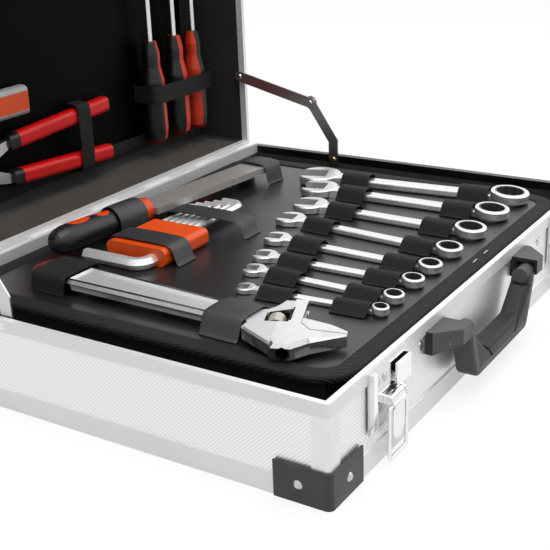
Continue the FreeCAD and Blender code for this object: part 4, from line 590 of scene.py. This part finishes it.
def elasticLoops(row):
    loops = []
    for size, length, ringX, openX in zip(row["size"], row["length"], row["ringX"], row["openX"]):
        ring, jaw = size * row["ringShare"], size * row["jawShare"]
        wide, high = [size * share + least for share, least in (row["shankWide"], row["shankHigh"])]
        run = length - ring - jaw
        swing = -math.asin((openX - ringX) / run)
        rows = archRows(wide / 2 + row["slack"], high + row["slack"], row["flange"], row["thick"], row["crown"])
        root = Matrix.Translation((ringX, row["front"] + ring, palletTop)) @ Matrix.Rotation(swing, 4, "Z")
        near = ring + row["ringGap"] + row["width"] / 2
        far = run - jaw - row["jawGap"] - row["width"] / 2
        for along in (near, far):
            place = root @ Matrix.Translation((0, along, 0))
            loop = layStrap("loop", rows, row["width"], row["thick"], place, finishes["elastic"], ribCount)
            loops.append(loop)
    return joinPieces("elasticLoopRow", loops)


standsFor(elasticLoops(wrenchRow), "pallet", "elastic", "elastic_loops")
print("elastic loops laid")


def turnedAbout(x, y, z, degrees):
    return Matrix.Translation((x, y, z)) @ Matrix.Rotation(math.radians(degrees), 4, "Z")


rubberThick, lidThick = 0.0015, 0.0012
palletStraps = {                                   # half span, rise, foot, width, place
    "overHolder": (0.0303, 0.0153, 0.009, 0.024, turnedAbout(-0.0791, 0.0786, palletTop, 90)),
    "overKeys": (0.037, 0.0130, 0.009, 0.024, turnedAbout(-0.0011, 0.0732, palletTop, 90)),
    "overGrip": (0.0128, 0.0256, 0.0015, 0.034, turnedAbout(-0.0436, 0.1338, palletTop + 0.0012, 83.9)),
    "overTip": (0.0143, 0.0173, 0.006, 0.024, turnedAbout(0.1445, 0.1137, palletTop, 83.9)),
    "overNeck": (0.0139, 0.0136, 0.009, 0.034, turnedAbout(-0.1658, -0.0658, palletTop, -2.1)),
    "overTail": (0.0178, 0.0136, 0.004, 0.034, turnedAbout(-0.1599, 0.0962, palletTop, -2.1)),
}
straps = []
for name, (half, rise, foot, width, place) in palletStraps.items():
    rows = (hoopRows if name == "overGrip" else archRows)(half, rise, foot, rubberThick)
    ribbed = name == "overTail"
    finish = finishes["elastic" if ribbed else "strap_rubber"]
    straps.append(layStrap(name, rows, width, rubberThick, place, finish, ribCount if ribbed else 0))
standsFor(joinPieces("palletStraps", straps), "pallet", "strap_rubber", "rubber_straps")

faceOut = Matrix.Rotation(math.radians(90), 4, "X")
lidStraps = {                                      # half span, rise, foot, width, place, turn
    "overPliers": (0.0313, 0.0137, 0.0015, 0.018, (0.0286, 0.2492, 0.1242), 90),
    "overKnife": (0.0133, 0.0146, 0.0015, 0.018, (-0.1144, 0.2504, 0.1746), 90),
    "overDrivers": (0.0498, 0.0267, 0.0015, 0.018, (0.1729, 0.2492, 0.1457), 0),
}
straps = []
for name, (half, rise, foot, width, spot, turn) in lidStraps.items():
    place = Matrix.Translation(spot) @ faceOut @ Matrix.Rotation(math.radians(turn), 4, "Z")
    rows = archRows(half, rise, foot, lidThick)
    straps.append(layStrap(name, rows, width, lidThick, place, finishes["elastic"]))
standsFor(joinPieces("lidStraps", straps), "lid", "elastic", "lid_straps")
print("straps laid")


tapeSteps = {"corner": 10, "edge": 4}


def bindEdge(name, tape, place):                   # tape folded round a board's edge
    unpick()
    bpy.ops.mesh.primitive_plane_add(size=2)
    piece = bpy.context.object
    piece.name = name
    bpy.ops.object.mode_set(mode="EDIT")
    bpy.ops.mesh.select_all(action="SELECT")
    bpy.ops.transform.resize(value=(tape["halfX"], tape["halfY"], 1))
    bpy.ops.mesh.bevel(offset=tape["radius"], segments=tapeSteps["corner"], affect="VERTICES")
    bpy.ops.mesh.select_all(action="SELECT")
    bpy.ops.mesh.inset(thickness=tape["width"])
    bpy.ops.mesh.delete(type="FACE")
    bpy.ops.object.mode_set(mode="OBJECT")
    addModifier(piece, "SOLIDIFY", {"thickness": tape["thick"], "offset": 0})
    addModifier(piece, "BEVEL", {"width": tape["round"], "segments": tapeSteps["edge"], "limit_method": "ANGLE"})
    return settle(piece, place, finishes["binding"])


palletTape = {"halfX": 0.2101, "halfY": 0.1731, "radius": 0.0296, "width": 0.0156, "thick": 0.0059,
              "round": 0.0022, "middle": (0, 0, 0.06475)}
piece = bindEdge("palletTape", palletTape, Matrix.Translation(palletTape["middle"]))
standsFor(piece, "pallet", "binding", "pallet_binding")
boardTape = {"halfX": 0.2216, "halfY": 0.1666, "radius": 0.0216, "width": 0.0136, "thick": 0.0064,
             "round": 0.0022, "middle": (0, 0.2524, 0.2546)}
piece = bindEdge("boardTape", boardTape, Matrix.Translation(boardTape["middle"]) @ faceOut)
standsFor(piece, "lid", "binding", "lid_board_binding")
print("edges bound")


feltSheet = {"thick": 0.0015, "round": 0.002, "steps": 3}


def linedTray(name, low, high, openSide, sheet):   # felt glued inside a tray
    unpick()
    bpy.ops.mesh.primitive_cube_add(size=1)
    piece = bpy.context.object
    piece.name = name
    bpy.ops.object.mode_set(mode="EDIT")
    bpy.ops.mesh.select_mode(type="FACE")
    bpy.ops.object.mode_set(mode="OBJECT")
    for face in piece.data.polygons:
        face.select = face.normal.dot(Vector(openSide)) > level
    bpy.ops.object.mode_set(mode="EDIT")
    bpy.ops.mesh.delete(type="FACE")
    bpy.ops.mesh.select_all(action="SELECT")
    bpy.ops.transform.resize(value=tuple(high - low))
    bpy.ops.object.mode_set(mode="OBJECT")
    addModifier(piece, "BEVEL", {"width": sheet["round"], "segments": sheet["steps"], "limit_method": "ANGLE"})
    addModifier(piece, "SOLIDIFY", {"thickness": sheet["thick"], "offset": -1})
    return settle(piece, Matrix.Translation((low + high) / 2), finishes["lining"])


for name, body, node, openSide in (("baseFelt", "base", "base_lining", (0, 0, 1)),
                                   ("lidFelt", "lid", "lid_lining", (0, -1, 0))):
    low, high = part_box(node)
    standsFor(linedTray(name, low, high, openSide, feltSheet), body, "lining", node)
print("trays lined")


studio = {"floorLevel": -0.0002, "floorSize": 12.0, "floorSeen": 0.93, "floorBounce": 0.30,
          "glow": 0.78, "floorRough": 0.9, "skyLow": 0.18, "skyHigh": 1.0,
          "strip": 0.2, "stripLow": 0.05, "stripHigh": 0.2}


def setFloor(look):
    unpick()
    bpy.ops.mesh.primitive_plane_add(size=look["floorSize"], location=(0, 0, look["floorLevel"]))
    floor = bpy.context.object
    floor.name = "studioFloor"
    bench = Bench("paleFloor", {"Roughness": look["floorRough"]})
    rays = bench.add("ShaderNodeLightPath", {}, {}).socket.node.outputs
    seen = Wire(bench, rays["Is Camera Ray"]).most(Wire(bench, rays["Is Glossy Ray"]))
    bounce = (look["floorBounce"],) * 3
    bench.finish(Base_Color=bench.mix(seen, bounce, (look["floorSeen"],) * 3))
    glow = bench.add("ShaderNodeEmission", {}, {"Color": (1, 1, 1, 1), "Strength": 1.0})
    plain = Wire(bench, bench.shader.outputs[0])
    both = bench.add("ShaderNodeMixShader", {}, {0: seen * look["glow"], 1: plain, 2: glow})
    bench.feed(bench.tree.nodes["Material Output"].inputs["Surface"], both)
    floor.data.materials.append(bench.material)


setFloor(studio)


def setRoom(look):                                 # soft sky, white to the eye, a dim strip for gloss
    world = bpy.data.worlds.new("studioRoom")
    bpy.context.scene.world = world
    world.use_nodes = True
    tree = world.node_tree

    def add(kind, settings, feeds):
        node = tree.nodes.new(kind)
        for key, value in settings.items():
            setattr(node, key, value)
        for key, value in feeds.items():
            if isinstance(value, bpy.types.NodeSocket):
                tree.links.new(value, node.inputs[key])
            else:
                node.inputs[key].default_value = value
        return node.outputs

    aim = add("ShaderNodeTexCoord", {}, {})["Generated"]
    rise = add("ShaderNodeSeparateXYZ", {}, {0: aim})["Z"]
    rays = add("ShaderNodeLightPath", {}, {})
    byEye, byGloss = rays["Is Camera Ray"], rays["Is Glossy Ray"]
    overhead = add("ShaderNodeMapRange", {}, {"Value": rise, "To Min": look["skyLow"], "To Max": look["skyHigh"]})[0]
    strip = add("ShaderNodeMapRange", {"interpolation_type": "SMOOTHSTEP"},
                {"Value": rise, "From Min": look["stripLow"], "From Max": look["stripHigh"],
                 "To Min": look["strip"], "To Max": 1.0})[0]
    brightest = add("ShaderNodeMath", {"operation": "MAXIMUM"}, {0: strip, 1: byEye})[0]
    either = add("ShaderNodeMath", {"operation": "MAXIMUM"}, {0: byEye, 1: byGloss})[0]
    sky = add("ShaderNodeBackground", {}, {"Color": (1, 1, 1, 1), "Strength": overhead})[0]
    shown = add("ShaderNodeBackground", {}, {"Color": (1, 1, 1, 1), "Strength": brightest})[0]
    blend = add("ShaderNodeMixShader", {}, {0: either, 1: sky, 2: shown})[0]
    tree.links.new(blend, tree.nodes["World Output"].inputs["Surface"])
    tree.nodes.remove(tree.nodes["Background"])


setRoom(studio)

lamps = {                                          # place, aim, size, watts
    "key": ((-0.3, -0.5, 2.0), (0, 0, 0.1), 1.6, 24),
    "fill": ((1.4, -1.2, 1.2), (0, 0, 0.1), 1.5, 6),
    "back": ((0.6, 1.5, 1.8), (0, 0, 0.2), 1.4, 8),
}
for name, (place, aim, size, watts) in lamps.items():
    lamp = bpy.data.lights.new(name, "AREA")
    lamp.size = size
    lamp.energy = watts
    holder = bpy.data.objects.new(name, lamp)
    bpy.context.scene.collection.objects.link(holder)
    holder.location = place
    holder.rotation_euler = (Vector(aim) - Vector(place)).to_track_quat("-Z", "Y").to_euler()
print("lamps up")

camera = {"place": (-0.72905, -0.4644, 0.3782), "yaw": 57.08, "pitch": 21.65, "roll": 2.2144,
          "lens": 71.014, "sensor": 36, "nearest": 0.01}


def aimCamera(view):
    yaw, pitch, roll = [math.radians(view[key]) for key in ("yaw", "pitch", "roll")]
    ahead = Vector((math.sin(yaw) * math.cos(pitch), math.cos(yaw) * math.cos(pitch), -math.sin(pitch)))
    level = Vector((math.cos(yaw), -math.sin(yaw), 0))
    down = ahead.cross(level)
    right = math.cos(roll) * level + math.sin(roll) * down
    up = math.sin(roll) * level - math.cos(roll) * down
    eye = bpy.data.cameras.new("photoView")
    eye.sensor_width = view["sensor"]
    eye.lens = view["lens"]
    eye.clip_start = view["nearest"]
    stand = bpy.data.objects.new("photoView", eye)
    bpy.context.scene.collection.objects.link(stand)
    turn = Matrix((right, up, -ahead)).transposed().to_4x4()
    stand.matrix_world = Matrix.Translation(view["place"]) @ turn
    bpy.context.scene.camera = stand


aimCamera(camera)
bpy.context.scene.view_settings.view_transform = "Standard"
print("camera set")

unpick()
